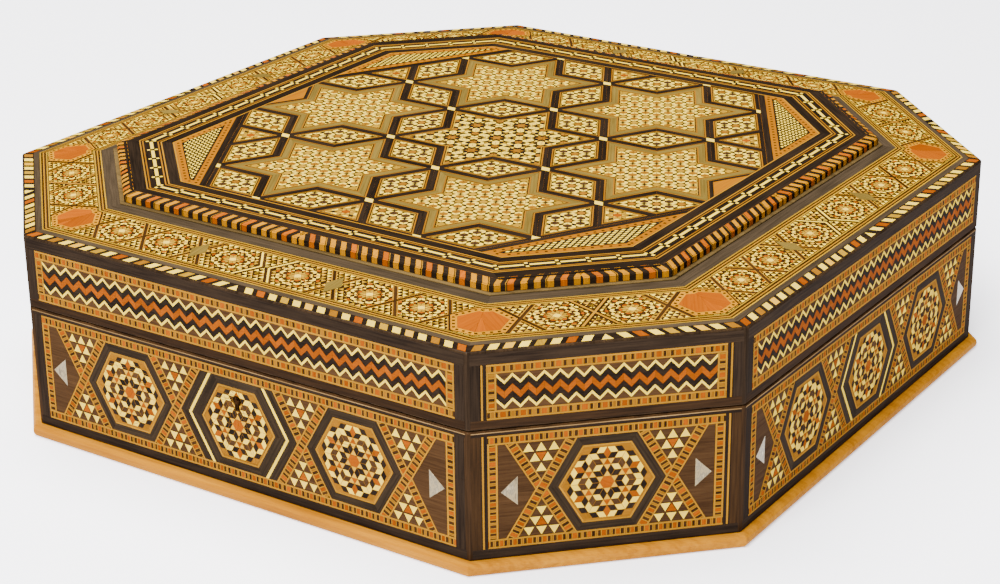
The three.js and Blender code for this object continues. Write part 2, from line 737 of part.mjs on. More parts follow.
place(lidGroup, 'lid_board', slab(WALL_OUTER, LID_BOARD_BOTTOM, LID_BOARD_TOP), 'core');
place(lidGroup, 'lid_border', lidBorder(), 'border');
place(lidGroup, 'raised_plinth', plinth(), 'walnut');
place(lidGroup, 'rope_moulding', ropeMoulding(), 'rope');
place(lidGroup, 'panel_board', slab(STRIP_INNER + GLUE, LID_TOP - VENEER, PANEL_TOP - VENEER - GLUE), 'core');
place(lidGroup, 'panel_veneer', slab(STRIP_INNER + GLUE, PANEL_TOP - VENEER, PANEL_TOP), 'panel');

export default box;
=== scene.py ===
import math
import random

import bmesh
import bpy
from mathutils import Matrix, Vector


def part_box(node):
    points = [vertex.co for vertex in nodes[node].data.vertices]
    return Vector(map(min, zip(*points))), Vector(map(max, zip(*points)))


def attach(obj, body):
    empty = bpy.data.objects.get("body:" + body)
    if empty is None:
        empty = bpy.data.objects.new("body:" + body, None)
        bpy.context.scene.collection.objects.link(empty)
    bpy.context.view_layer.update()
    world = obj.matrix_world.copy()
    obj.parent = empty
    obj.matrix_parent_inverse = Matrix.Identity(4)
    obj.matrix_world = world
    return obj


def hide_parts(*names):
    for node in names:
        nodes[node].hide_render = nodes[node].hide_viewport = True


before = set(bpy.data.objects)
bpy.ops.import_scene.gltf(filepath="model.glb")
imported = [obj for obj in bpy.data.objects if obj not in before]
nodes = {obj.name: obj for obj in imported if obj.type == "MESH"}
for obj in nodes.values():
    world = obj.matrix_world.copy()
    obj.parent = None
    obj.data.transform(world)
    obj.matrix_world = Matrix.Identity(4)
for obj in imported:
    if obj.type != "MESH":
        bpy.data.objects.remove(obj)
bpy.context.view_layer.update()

MM = 0.001
RANDOM = random.Random(20)

# The octagon in plan, in millimetres, and where each of its faces looks.
WIDTH = 300.0
LONG_FACE = 179.0
FACE_NAMES = "right back_right back back_left left front_left front front_right".split()
FACES = {name: 45 * index for index, name in enumerate(FACE_NAMES)}
LONG_DISTANCE = WIDTH / 2
SHORT_DISTANCE = (WIDTH / 2 + LONG_FACE / 2) / math.sqrt(2)
SHORT_FACE = (WIDTH - LONG_FACE) / math.sqrt(2)
MITRE = math.tan(math.radians(22.5))


def height(node, end):
    """The lower (0) or upper (1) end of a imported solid."""
    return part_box(node)[end].z / MM


def inset_of(node):
    """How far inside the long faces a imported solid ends."""
    return LONG_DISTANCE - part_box(node)[1].x / MM


GLUE = 0.1
VENEER = 1.0

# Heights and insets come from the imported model.
CASE_LOW = height("case_veneer_front", 0)
CASE_TOP = height("case_veneer_front", 1)
WALL_FOOT = CASE_LOW - GLUE
LID_LOW = height("lid_veneer_front", 0)
LID_EDGE = height("lid_border", 0) + VENEER
BORDER_TOP = height("lid_border", 1)
BORDER_RISE = BORDER_TOP - LID_EDGE
ROPE_FOOT = height("rope_moulding", 0)
PANEL_TOP = height("panel_veneer", 1)
PANEL_INSET = inset_of("rope_moulding")
LEDGE_INSET = inset_of("raised_plinth")
STRIP_INNER = inset_of("panel_veneer") - GLUE
BORDER_SLOPE = math.hypot(LEDGE_INSET, BORDER_RISE)
ROPE_CREASE = 0.4
ROPE_TOP_FALL = 0.8

# The keyhole's round top, its slot and its foot, as heights above the wall's foot.
KEYHOLE = 31.2
KEYHOLE_RADIUS = 1.8
KEYHOLE_SLOT = 1.9
KEYHOLE_FOOT = 27.5
KEYHOLE_STEPS = 14

# Tiles stand a hair above what they are laid on, and each layer above the last.
TILE_LEVEL = 0.05
LEVEL_STEP = 0.035
TILE_SINK = 0.25
TILE_GAP = 0.02
TILE_MARGIN = 0.9
ROSETTE_JOINT = 0.07
SMALLEST_TILE = 0.015
SMALLEST_PART = 0.5
LATTICE = math.sqrt(3) / 2
SLANT = math.sqrt(3)


def is_long(face):
    return FACES[face] % 90 == 0


def distance(face):
    return LONG_DISTANCE if is_long(face) else SHORT_DISTANCE


def half_length(face, inset=0.0):
    return (LONG_FACE if is_long(face) else SHORT_FACE) / 2 - MITRE * inset


def unit(turn):
    """The direction of a turn given in degrees."""
    angle = math.radians(turn)
    return math.cos(angle), math.sin(angle)


def heading(start, end):
    """How long a line is and which way it runs."""
    du, dv = end[0] - start[0], end[1] - start[1]
    return math.hypot(du, dv), math.degrees(math.atan2(dv, du))


# Convex polygons, as lists of (u, v) in millimetres, anticlockwise.


def area(points):
    total = 0.0
    for (u0, v0), (u1, v1) in zip(points, points[1:] + points[:1]):
        total += u0 * v1 - u1 * v0
    return total / 2


def turned_right(points):
    return points if area(points) >= 0 else points[::-1]


def dot(a, b):
    return a[0] * b[0] + a[1] * b[1]


def cut(points, normal, offset):
    """The part of the polygon where normal . point is at most offset."""
    kept = []
    for start, end in zip(points, points[1:] + points[:1]):
        a = dot(normal, start) - offset
        b = dot(normal, end) - offset
        if a <= 0:
            kept.append(start)
        if (a < 0 < b) or (b < 0 < a):
            t = a / (a - b)
            kept.append((start[0] + t * (end[0] - start[0]), start[1] + t * (end[1] - start[1])))
    return kept


def edges(points):
    """Each edge as its outward normal and its distance from the origin."""
    for (u0, v0), (u1, v1) in zip(points, points[1:] + points[:1]):
        length = math.hypot(u1 - u0, v1 - v0)
        if length > 1e-9:
            normal = ((v1 - v0) / length, (u0 - u1) / length)
            yield normal, dot(normal, (u0, v0))


def clip(points, limit):
    for normal, offset in edges(limit):
        points = cut(points, normal, offset)
    return points


def subtract(points, hole):
    """The polygon without the hole, as convex pieces."""
    pieces = []
    for normal, offset in edges(hole):
        outside = cut(points, (-normal[0], -normal[1]), -offset)
        if len(outside) > 2:
            pieces.append(outside)
        points = cut(points, normal, offset)
    return pieces


def shrunk(points, gap):
    result = points
    for normal, offset in edges(points):
        result = cut(result, normal, offset - gap)
    return result


def moved(points, centre=(0.0, 0.0), turn=0.0, size=1.0, squash=1.0):
    c, s = (part * size for part in unit(turn))
    return [(centre[0] + u * c - v * s, centre[1] + squash * (u * s + v * c)) for u, v in points]


def mirrored(points, side=1, up=1, middle=0.0):
    """side and up are 1 or -1, and up may also squash; middle is the height they start from."""
    return [(side * u, middle + up * v) for u, v in points]


def rectangle(u0, u1, v0, v1):
    return [(u0, v0), (u1, v0), (u1, v1), (u0, v1)]


def slanted(u0, u1, v0, v1, lean):
    """A strip whose upper end is shifted sideways."""
    return [(u0, v0), (u1, v0), (u1 + lean, v1), (u0 + lean, v1)]


def tapered(low_half, high_half, v0, v1):
    return [(-low_half, v0), (low_half, v0), (high_half, v1), (-high_half, v1)]


def circle(count):
    return [unit(360 * index / count) for index in range(count)]


def octagon_points(long_inset, short_inset=None):
    """The octagon's corners in plan, from the right-hand face round."""
    short_inset = long_inset if short_inset is None else short_inset
    a = LONG_DISTANCE - long_inset
    b = (SHORT_DISTANCE - short_inset) * math.sqrt(2) - a
    points = []
    for turn in (0, 90, 180, 270):
        points += moved([(a, b), (b, a)], turn=turn)
    return points


def middle_of(outline):
    count = len(outline)
    return (sum(u for u, v in outline) / count, sum(v for u, v in outline) / count)


def towards(outline, middle, share):
    return [
        (middle[0] + (u - middle[0]) * share, middle[1] + (v - middle[1]) * share)
        for u, v in outline
    ]


def strips(marks):
    """Marks are edges with a wood between each two: gives each strip's two edges and its wood."""
    return zip(marks[::2], marks[2::2], marks[1::2])


class Place:
    """A flat spot on the box: where it starts, its two directions and the way it faces."""

    def __init__(self, origin, across, up):
        self.origin = Vector(origin)
        self.across = Vector(across).normalized()
        self.up = Vector(up).normalized()
        self.out = self.across.cross(self.up)

    def point(self, u, v, w=0.0):
        return (self.origin + self.across * u + self.up * v + self.out * w) * MM


def place_on(face, inset, z, rise=1.0, run=0.0):
    """On a face of the octagon. rise and run give the slope: 1 and 0 are upright."""
    c, s = unit(FACES[face])
    out = Vector((c, s, 0))
    up = Vector((0, 0, rise)) - out * run
    return Place(out * (distance(face) - inset) + Vector((0, 0, z)), (-s, c, 0), up)


class Inlay:
    """Thin tiles laid on one flat surface and kept inside its outline."""

    def __init__(self, place, limit, holes=()):
        self.place = place
        self.limit = turned_right(limit)
        self.holes = [turned_right(hole) for hole in holes]
        self.tiles = []

    def tile(self, points, wood, grain=0.0, level=0, inside=(), joint=TILE_GAP):
        """inside may hold convex outlines: only what lies in one of them is laid."""
        points = turned_right(points)
        tone = RANDOM.uniform(-1, 1)
        shift = (RANDOM.uniform(0, 900), RANDOM.uniform(0, 900))
        for outline in inside or (self.limit,):
            pieces = [clip(clip(points, outline), self.limit)]
            for hole in self.holes:
                pieces = [rest for piece in pieces for rest in subtract(piece, hole)]
            for piece in pieces:
                if len(piece) > 2 and area(piece) > SMALLEST_TILE:
                    self.tiles.append((shrunk(piece, joint), wood, grain, level, tone, shift))

    def bar(self, start, end, width, wood, level=0, inside=()):
        """A straight strip along a line, with its grain along it."""
        length, turn = heading(start, end)
        points = moved(rectangle(0, length, -width / 2, width / 2), start, turn)
        self.tile(points, wood, turn, level, inside)

    def bands(self, half, marks):
        """Level strips from end to end, one above another."""
        for low, high, wood in strips(marks):
            self.tile(rectangle(-half, half, low, high), wood)

    def ring(self, outer, inner, wood, level=0, inside=()):
        """Mitred strips between two outlines with as many corners."""
        for index in range(len(outer)):
            j = (index + 1) % len(outer)
            length, turn = heading(outer[index], outer[j])
            points = [outer[index], outer[j], inner[j], inner[index]]
            self.tile(points, wood, turn, level, inside)

    def dashes(self, start, end, width, cells, level=1, edge=0.6, inside=()):
        """A strip of short cross pieces, not all of one length, between two thin lines."""
        length, turn = heading(start, end)
        for side in (-1, 1):
            v = side * (width - edge) / 2
            line = rectangle(0, length, v - edge / 2, v + edge / 2)
            self.tile(moved(line, start, turn), "line", turn, level, inside)
        half = width / 2 - edge
        at = -RANDOM.uniform(0, 3)
        index = RANDOM.randrange(len(cells))
        while at < length:
            wood, size = cells[index % len(cells)]
            size *= RANDOM.uniform(0.85, 1.15)
            cell = rectangle(max(at, 0), min(at + size, length), -half, half)
            if at + size > 0:
                self.tile(moved(cell, start, turn), wood, turn + 90, level, inside)
            at += size
            index += 1

    def lay(self, name, body, columns=1, rows=1):
        """Makes one object of the tiles, or one for each field of a coarse grid."""
        us, vs = zip(*self.limit)
        u_step = (max(us) - min(us)) / columns
        v_step = (max(vs) - min(vs)) / rows
        for row in range(rows):
            for column in range(columns):
                u0, v0 = min(us) + column * u_step, min(vs) + row * v_step
                window = rectangle(u0, u0 + u_step, v0, v0 + v_step)
                label = name
                if columns * rows > 1:
                    label += "_" + str(row * columns + column + 1)
                lay_tiles(label, self, window, body)


# The part of the bake map that is left for the tiles' undersides.
BAKE_SPARE = 0.015


def lay_tiles(name, inlay, window, body):
    """One object of closed thin prisms, painted over each other in the order of their levels."""
    verts, faces, looks, tones, grains, bakes = [], [], [], [], [], []
    woods = []
    u_low, v_low = window[0]
    u_size = (window[2][0] - u_low) / (1 - BAKE_SPARE)
    v_size = (window[2][1] - v_low) / (1 - BAKE_SPARE)
    for points, wood, grain, level, tone, shift in sorted(inlay.tiles, key=lambda t: t[3]):
        points = clip(points, window)
        if len(points) < 3 or area(points) < SMALLEST_TILE:
            continue
        if wood not in woods:
            woods.append(wood)
        top = TILE_LEVEL + LEVEL_STEP * level
        first, count = len(verts), len(points)
        verts += [inlay.place.point(u, v, top) for u, v in points]
        verts += [inlay.place.point(u, v, -TILE_SINK) for u, v in points]
        c, s = unit(grain)
        fibre = [(u * c + v * s + shift[0], v * c - u * s + shift[1]) for u, v in points]
        flat = [
            (BAKE_SPARE + (u - u_low) / u_size, BAKE_SPARE + (v - v_low) / v_size)
            for u, v in points
        ]
        small = [(BAKE_SPARE / 3 * x, BAKE_SPARE / 3 * y) for x, y in flat]
        faces.append(list(range(first, first + count)))
        faces.append(list(range(first + 2 * count - 1, first + count - 1, -1)))
        grains += fibre + fibre[::-1]
        bakes += flat + small[::-1]
        for i in range(count):
            j = (i + 1) % count
            faces.append([first + i, first + count + i, first + count + j, first + j])
            grains += [fibre[i], fibre[i], fibre[j], fibre[j]]
            bakes += [flat[i], flat[i], flat[j], flat[j]]
        looks += [woods.index(wood)] * (count + 2)
        tones += [tone] * (count + 2)
    if not faces:
        return
    obj = make_object(name, verts, faces, body)
    for wood in woods:
        obj.data.materials.append(look(wood))
    obj.data.polygons.foreach_set("material_index", looks)
    write_maps(obj.data, grains, bakes)
    tone = obj.data.attributes.new("tone", "FLOAT", "FACE")
    tone.data.foreach_set("value", tones)


def configured(thing, **settings):
    for key, value in settings.items():
        setattr(thing, key, value)
    return thing


def add_object(name, data):
    obj = bpy.data.objects.new(name, data)
    bpy.context.scene.collection.objects.link(obj)
    return obj


def add_shape(name, bm):
    """An object of what was made in a bmesh."""
    mesh = bpy.data.meshes.new(name)
    bm.to_mesh(mesh)
    bm.free()
    return add_object(name, mesh)


def evaluated(obj):
    return obj.evaluated_get(bpy.context.evaluated_depsgraph_get())


def make_mesh(name, verts, faces):
    mesh = bpy.data.meshes.new(name)
    mesh.from_pydata(verts, [], faces)
    return mesh


def make_object(name, verts, faces, body):
    mesh = make_mesh(name, verts, faces)
    mesh.validate()
    obj = add_object(name, mesh)
    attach(obj, body)
    return obj


def write_maps(mesh, grains, bakes):
    """The map that the grain follows, and the flat OFBake map for baking."""
    for name, values in (("Grain", grains), ("OFBake", bakes)):
        layer = mesh.uv_layers.new(name=name)
        layer.data.foreach_set("uv", [x for pair in values for x in pair])


# Materials. Every look is made of nodes, and each is made once.


class Nodes:
    """Short ways to add and join the nodes of one material."""

    def __init__(self, name):
        self.material = bpy.data.materials.new(name)
        self.material.use_nodes = True
        self.tree = self.material.node_tree
        self.shader = self.tree.nodes["Principled BSDF"]

    def feed(self, node, inputs):
        """Links or sets a node's own sockets."""
        for key, value in dict(inputs).items():
            if isinstance(value, bpy.types.NodeSocket):
                self.tree.links.new(value, node.inputs[key])
            else:
                node.inputs[key].default_value = value
        return node

    def add(self, kind, inputs=(), **settings):
        return self.feed(configured(self.tree.nodes.new(kind), **settings), inputs)

    def grain_map(self):
        return self.add("ShaderNodeUVMap", uv_map="Grain").outputs[0]

    def position(self):
        return self.add("ShaderNodeTexCoord").outputs["Object"]

    def noise(self, vector, scale, detail=3.0, rough=0.55):
        inputs = {"Vector": vector, "Scale": scale, "Detail": detail, "Roughness": rough}
        return self.add("ShaderNodeTexNoise", inputs).outputs["Fac"]

    def streaks(self, vector, scale, detail=3.0, rough=0.55):
        """Noise that is drawn out: scale is given for each direction."""
        drawn = self.add("ShaderNodeMapping", {"Vector": vector, "Scale": scale}).outputs[0]
        return self.noise(drawn, 1.0, detail, rough)

    def ramp(self, value, stops):
        made = self.add("ShaderNodeValToRGB", {"Fac": value})
        ramp = made.color_ramp
        while len(ramp.elements) < len(stops):
            ramp.elements.new(0.5)
        for element, (at, colour) in zip(ramp.elements, stops):
            element.position = at
            element.color = colour
        return made.outputs["Color"]

    def span(self, value, low, high, to_low=0.0, to_high=1.0):
        names = ("Value", "From Min", "From Max", "To Min", "To Max")
        inputs = dict(zip(names, (value, low, high, to_low, to_high)))
        return self.add("ShaderNodeMapRange", inputs).outputs[0]

    def math(self, operation, a, b):
        return self.add("ShaderNodeMath", {0: a, 1: b}, operation=operation).outputs[0]

    def times(self, a, b):
        return self.math("MULTIPLY", a, b)

    def blend(self, a, share, b):
        return self.math("ADD", self.times(a, share), self.times(b, 1 - share))

    def mix(self, factor, a, b):
        inputs = {"Factor": factor, 6: a, 7: b}
        return self.add("ShaderNodeMix", inputs, data_type="RGBA").outputs[2]

    def shade(self, colour, value):
        inputs = {"Color": colour, "Value": value}
        return self.add("ShaderNodeHueSaturation", inputs).outputs[0]

    def edge(self, radius):
        """Near 1 on the sharp edges and 0 on the flats."""
        bevel = self.add("ShaderNodeBevel", {"Radius": radius}, samples=4).outputs[0]
        normal = self.add("ShaderNodeNewGeometry").outputs["Normal"]
        product = self.add("ShaderNodeVectorMath", {0: bevel, 1: normal}, operation="DOT_PRODUCT")
        return self.span(product.outputs["Value"], 0.995, 0.9)

    def finish(self, inputs, bump=None, strength=0.0, depth=0.0):
        self.feed(self.shader, inputs)
        if bump:
            made = self.add("ShaderNodeBump", {"Strength": strength, "Distance": depth, "Height": bump})
            self.feed(self.shader, {"Normal": made.outputs[0]})
        return self.material


def rgb(red, green, blue):
    """A colour given as it looks on a screen, 0 to 255."""
    values = []
    for part in (red, green, blue):
        part /= 255
        values.append(part / 12.92 if part <= 0.04045 else ((part + 0.055) / 1.055) ** 2.4)
    return (*values, 1.0)


# Dark and light tones, how strongly the grain shows and how much each tile differs.
WOODS = {
    "ebony": (rgb(17, 12, 8), rgb(33, 24, 16), 1.0, 0.25),
    "ebony_worn": (rgb(25, 18, 11), rgb(43, 33, 22), 1.0, 0.15),
    "ebony_rail": (rgb(21, 14, 9), rgb(39, 29, 20), 1.0, 0.2),
    "brown": (rgb(30, 17, 6), rgb(50, 31, 12), 0.8, 0.3),
    "walnut": (rgb(42, 26, 12), rgb(62, 42, 23), 1.0, 0.15),
    "grey": (rgb(40, 32, 22), rgb(58, 47, 34), 1.0, 0.12),
    "walnut_dark": (rgb(26, 16, 8), rgb(44, 29, 16), 1.0, 0.18),
    "post": (rgb(30, 19, 9), rgb(50, 33, 17), 1.0, 0.18),
    "case_edge": (rgb(28, 18, 9), rgb(48, 32, 18), 1.0, 0.0),
    "lid_edge": (rgb(22, 15, 9), rgb(40, 29, 19), 1.0, 0.0),
    # A pale band for the case's top edge: painted highlight of the light line at the seam.
    "worn": (rgb(88, 66, 38), rgb(124, 98, 62), 0.8, 0.1),
    "orange": (rgb(106, 47, 0), rgb(126, 61, 0), 0.7, 0.16),
    "amber": (rgb(110, 49, 0), rgb(134, 66, 0), 0.7, 0.1),
    "gold": (rgb(74, 58, 20), rgb(100, 82, 34), 0.7, 0.12),
    "yellow": (rgb(118, 86, 10), rgb(142, 108, 22), 0.6, 0.14),
    "lemon": (rgb(110, 62, 0), rgb(132, 80, 0), 0.6, 0.08),
    # Straw and ember are lemon and amber painted lighter: painted light for the moulding's stripes,
    # whose faces get less light than the top.
    "straw": (rgb(134, 86, 0), rgb(158, 104, 4), 0.6, 0.1),
    "ember": (rgb(120, 55, 0), rgb(144, 72, 0), 0.7, 0.1),
    "line": (rgb(118, 80, 10), rgb(142, 98, 20), 0.5, 0.1),
    "tan": (rgb(100, 62, 5), rgb(123, 80, 14), 0.6, 0.14),
    "bone": (rgb(186, 152, 34), rgb(208, 176, 56), 0.35, 0.08),
    "cream": (rgb(156, 112, 16), rgb(178, 134, 30), 0.4, 0.08),
}
# Woods whose rounded edges are rubbed through to a paler tone.
RUBBED = {"case_edge": rgb(92, 64, 34), "lid_edge": rgb(84, 62, 38)}
# Dark and light tones of the pieces without a grain map.
BOARDS = {
    "beech": (rgb(132, 80, 4), rgb(160, 105, 14)),
    # The core is darker than its wood: painted shade for where it shows inside the keyhole.
    "core": (rgb(52, 32, 15), rgb(80, 52, 28)),
    # The ledge is its own grey-brown, tinted golden: painted reflection of the stripes above it.
    "ledge": (rgb(54, 42, 22), rgb(86, 68, 37)),
    "dark": (rgb(18, 12, 8), rgb(34, 25, 17)),
}
METALS = {
    "brass": (rgb(116, 86, 36), rgb(162, 128, 66)),
    "steel": (rgb(110, 108, 104), rgb(176, 174, 170)),
}
made_looks = {}


def look(name):
    if name not in made_looks:
        made_looks[name] = LOOKS.get(name, wood_look)(name)
    return made_looks[name]


def wood_look(name):
    dark, light, grain, variety = WOODS[name]
    n = Nodes(name)
    uv = n.grain_map()
    tone = n.add("ShaderNodeAttribute", attribute_name="tone").outputs["Fac"]
    fibres = n.streaks(uv, (0.06, 1.6, 1), 4.0, 0.6)
    clouds = n.streaks(uv, (0.03, 0.12, 1), 2.0)
    pores = n.streaks(uv, (0.5, 9.0, 1), 2.0)
    spread = 0.12 / max(grain, 0.3)
    factor = n.span(n.blend(fibres, 0.7, clouds), 0.5 - spread, 0.5 + spread)
    pored = n.span(pores, 0.60, 0.72, 1.0, 1.0 - 0.35 * grain)
    value = n.times(n.math("ADD", n.times(tone, variety), 1.0), pored)
    colour = n.shade(n.mix(factor, dark, light), value)
    if name in RUBBED:
        rubbed = n.times(n.edge(0.0009), n.span(clouds, 0.42, 0.6, 0.05, 0.7))
        colour = n.mix(rubbed, colour, RUBBED[name])
    inputs = {
        "Base Color": colour,
        "Roughness": n.span(fibres, 0.3, 0.7, 0.28, 0.45),
        "Specular IOR Level": 0.0,
        "Coat Weight": 0.03,
        "Coat Roughness": 0.18,
    }
    return n.finish(inputs, pores, 0.25, 0.00004)


def pearl_look(name):
    n = Nodes(name)
    swirl = n.streaks(n.grain_map(), (0.25, 0.6, 1), 3.0, 0.6)
    stops = (
        (0.30, rgb(76, 64, 42)),
        (0.45, rgb(126, 110, 76)),
        (0.55, rgb(98, 88, 66)),
        (0.68, rgb(142, 126, 94)),
    )
    inputs = {
        "Base Color": n.ramp(swirl, stops),
        "Roughness": n.span(swirl, 0.3, 0.7, 0.12, 0.3),
        "Metallic": 0.15,
        "Specular IOR Level": 0.2,
        "Coat Weight": 0.15,
        "Coat Roughness": 0.12,
    }
    return n.finish(inputs, swirl, 0.15, 0.0001)


def board_look(name):
    """Plain wood on pieces without a grain map: the grain follows the object's own x."""
    dark, light = BOARDS[name]
    n = Nodes(name)
    place = n.position()
    fibres = n.streaks(place, (25, 600, 600), 4.0, 0.6)
    clouds = n.streaks(place, (12, 40, 40), 2.0)
    colour = n.mix(n.span(n.blend(fibres, 0.6, clouds), 0.38, 0.62), dark, light)
    worn = n.times(n.edge(0.0007), n.span(clouds, 0.4, 0.6, 0.1, 0.55))
    inputs = {
        "Base Color": n.mix(worn, colour, light),
        "Roughness": n.span(fibres, 0.3, 0.7, 0.3, 0.5),
        "Specular IOR Level": 0.0,
        "Coat Weight": 0.1,
        "Coat Roughness": 0.2,
    }
    return n.finish(inputs, fibres, 0.2, 0.0001)


def metal_look(name):
    dark, light = METALS[name]
    n = Nodes(name)
    place = n.position()
    stain = n.noise(place, 160.0, 4.0, 0.65)
    brushed = n.streaks(place, (80, 2500, 2500))
    colour = n.mix(n.span(stain, 0.35, 0.65), dark, light)
    roughness = n.math("ADD", n.span(brushed, 0.3, 0.7, 0.18, 0.3), n.span(stain, 0.4, 0.7, 0.0, 0.15))
    inputs = {
        "Base Color": n.mix(n.times(n.edge(0.0003), 0.6), colour, light),
        "Roughness": roughness,
        "Metallic": 1.0,
    }
    return n.finish(inputs, brushed, 0.15, 0.00005)


def velvet_look(name):
    n = Nodes(name)
    place = n.position()
    pile = n.noise(place, 2600.0, 3.0, 0.7)
    brushed = n.noise(place, 30.0, 2.0, 0.5)
    crush = n.streaks(place, (160, 60, 60), 3.0, 0.6)
    tone = n.span(n.blend(brushed, 0.45, crush), 0.3, 0.7)
    colour = n.mix(tone, rgb(70, 5, 12), rgb(98, 9, 19))
    inputs = {
        "Base Color": n.shade(colour, n.span(pile, 0.3, 0.7, 0.8, 1.18)),
        "Roughness": n.span(pile, 0.3, 0.7, 0.8, 0.98),
        "Specular IOR Level": 0.0,
        "Sheen Weight": 0.25,
        "Sheen Roughness": 0.35,
        "Sheen Tint": rgb(205, 70, 84),
    }
    return n.finish(inputs, pile, 0.5, 0.0003)


LOOKS = {
    "pearl": pearl_look,
    "velvet": velvet_look,
    **dict.fromkeys(BOARDS, board_look),
    **dict.fromkeys(METALS, metal_look),
}


# Rounded shells: the dark wood that the tiles are laid on.

CORNER_RADIUS = 1.2
CORNER_STEPS = 4
EDGE_RADIUS = 0.5
FOOT_RADIUS = 0.3
HINGE_X = 55.0
LEAF_LENGTH = 30.0
HINGE_ROOM = 0.15
LEAF_DEPTH = 0.95
CUTTER_REACH = 3
# Where an edge's arc runs between its two ends, as a share of its radius.
ARC_MIDDLE = 0.3
# Grain along one face starts so far from the next one's.
GRAIN_SHIFT = 300.0
# The shells' bake map has one row for each face: its width, and the margin in each row.
BAKE_WIDTH = 190.0
BAKE_MARGIN = 0.04


def rounded_outline(inset):
    """Points round the octagon at an inset, with an arc at each corner."""
    points = []
    radius = max(CORNER_RADIUS - inset, 0.05)
    for index, corner in enumerate(octagon_points(inset + radius)):
        for step in range(CORNER_STEPS + 1):
            turn = index * 45 + 45 * step / CORNER_STEPS
            points += moved([(radius, 0)], corner, turn)
    return points


def octagon_shell(name, section, body, wood):
    """A ring from a closed section of (inset, z), with rounded corners in plan."""
    rings = [rounded_outline(inset) for inset, z in section]
    count = len(rings[0])
    verts = [(u * MM, v * MM, z * MM) for ring, (inset, z) in zip(rings, section) for u, v in ring]
    lengths = [0.0]
    for start, end in zip(section, section[1:] + section[:1]):
        lengths.append(lengths[-1] + heading(start, end)[0])
    faces, grains, bakes = [], [], []
    for i in range(len(section)):
        j = (i + 1) % len(section)
        for k in range(count):
            after = (k + 1) % count
            faces.append([i * count + k, i * count + after, j * count + after, j * count + k])
            side = (k + CORNER_STEPS // 2) // (CORNER_STEPS + 1)
            ups = (lengths[i], lengths[i], lengths[i + 1], lengths[i + 1])
            for (ring, spot), up in zip(((i, k), (i, after), (j, after), (j, k)), ups):
                along = place_along(rings[ring][spot], side)
                grains.append((up, along + GRAIN_SHIFT * side))
                share = BAKE_MARGIN + (1 - 2 * BAKE_MARGIN) * up / lengths[-1]
                bakes.append((0.5 + along / BAKE_WIDTH, (side % 8 + share) / 8))
    obj = make_object(name, verts, faces, body)
    write_maps(obj.data, grains, bakes)
    obj.data.materials.append(look(wood))
    obj.data.shade_smooth()
    return obj


def place_along(point, side):
    """How far along its face a point of the outline lies."""
    c, s = unit(45 * side)
    return point[1] * c - point[0] * s


def box_cutter(low, high):
    """A box given by two corners in millimetres, as vertices and faces."""
    verts = [
        (x * MM, y * MM, z * MM)
        for x in (low[0], high[0])
        for y in (low[1], high[1])
        for z in (low[2], high[2])
    ]
    faces = [(0, 1, 3, 2), (4, 6, 7, 5), (0, 4, 5, 1), (2, 3, 7, 6), (0, 2, 6, 4), (1, 5, 7, 3)]
    return verts, faces


def keyhole_cutter():
    """The keyhole's outline, a round top that narrows to a slot, drawn through the front."""
    slot = KEYHOLE_SLOT / 2
    outline = [(-slot, KEYHOLE_FOOT), (slot, KEYHOLE_FOOT)]
    start = -math.degrees(math.acos(slot / KEYHOLE_RADIUS))
    for step in range(KEYHOLE_STEPS + 1):
        turn = start + (180 - 2 * start) * step / KEYHOLE_STEPS
        outline += moved([(KEYHOLE_RADIUS, 0)], (0, KEYHOLE), turn)
    count = len(outline)
    verts = []
    for y in (-LONG_DISTANCE - CUTTER_REACH, -LONG_DISTANCE + CUTTER_REACH):
        verts += [(u * MM, y * MM, (v + WALL_FOOT) * MM) for u, v in outline]
    faces = [tuple(range(count)), tuple(range(2 * count - 1, count - 1, -1))]
    for i in range(count):
        j = (i + 1) % count
        faces.append((i, count + i, count + j, j))
    return verts, faces


def cut_out(obj, cutters):
    """Takes closed cutters, as vertices and faces, out of a closed mesh."""
    for verts, faces in cutters:
        cutter_mesh = make_mesh("cutter", verts, faces)
        cutter = add_object("cutter", cutter_mesh)
        modifier = obj.modifiers.new("opening", "BOOLEAN")
        configured(modifier, operation="DIFFERENCE", object=cutter, solver="EXACT")
        bpy.context.view_layer.update()
        result = bpy.data.meshes.new_from_object(evaluated(obj))
        obj.modifiers.remove(modifier)
        old = obj.data
        obj.data = result
        bpy.data.meshes.remove(old)
        bpy.data.objects.remove(cutter)
        bpy.data.meshes.remove(cutter_mesh)


def hinge_openings(low, high):
    half = LEAF_LENGTH / 2 + HINGE_ROOM
    near, far = LONG_DISTANCE - CUTTER_REACH, LONG_DISTANCE + CUTTER_REACH
    return [box_cutter((x - half, near, low), (x + half, far, high)) for x in (-HINGE_X, HINGE_X)]


def rounding(z, radius):
    """From the face over a rounded edge on to the top, or the underside for a radius below 0."""
    size = abs(radius)
    return [(0, z - radius), (ARC_MIDDLE * size, z - ARC_MIDDLE * radius), (size, z)]


def case_shell():
    section = [(VENEER, CASE_TOP), (VENEER, CASE_LOW)]
    section += rounding(CASE_LOW, -FOOT_RADIUS)[::-1] + rounding(CASE_TOP, EDGE_RADIUS)
    shell = octagon_shell("case_shell", section[::-1], "case", "case_edge")
    cut_out(shell, hinge_openings(CASE_TOP - LEAF_DEPTH, CASE_TOP + 1) + [keyhole_cutter()])
    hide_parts(*["case_veneer_" + face for face in FACES])


def lid_shell():
    rise = BORDER_RISE / LEDGE_INSET
    section = [(VENEER, LID_EDGE - VENEER), (VENEER, LID_LOW)]
    section += rounding(LID_LOW, -EDGE_RADIUS)[::-1]
    section += [(0, LID_EDGE - 0.5), (0.15, LID_EDGE - 0.12), (0.6, LID_EDGE + 0.6 * rise)]
    section += [(LEDGE_INSET, BORDER_TOP), (STRIP_INNER, BORDER_TOP), (STRIP_INNER, LID_EDGE - VENEER)]
    shell = octagon_shell("lid_shell", section[::-1], "lid", "lid_edge")
    cut_out(shell, hinge_openings(LID_LOW - 1, LID_LOW + LEAF_DEPTH))
    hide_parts("lid_border", *["lid_veneer_" + face for face in FACES])


# Patterns that come back on several surfaces.

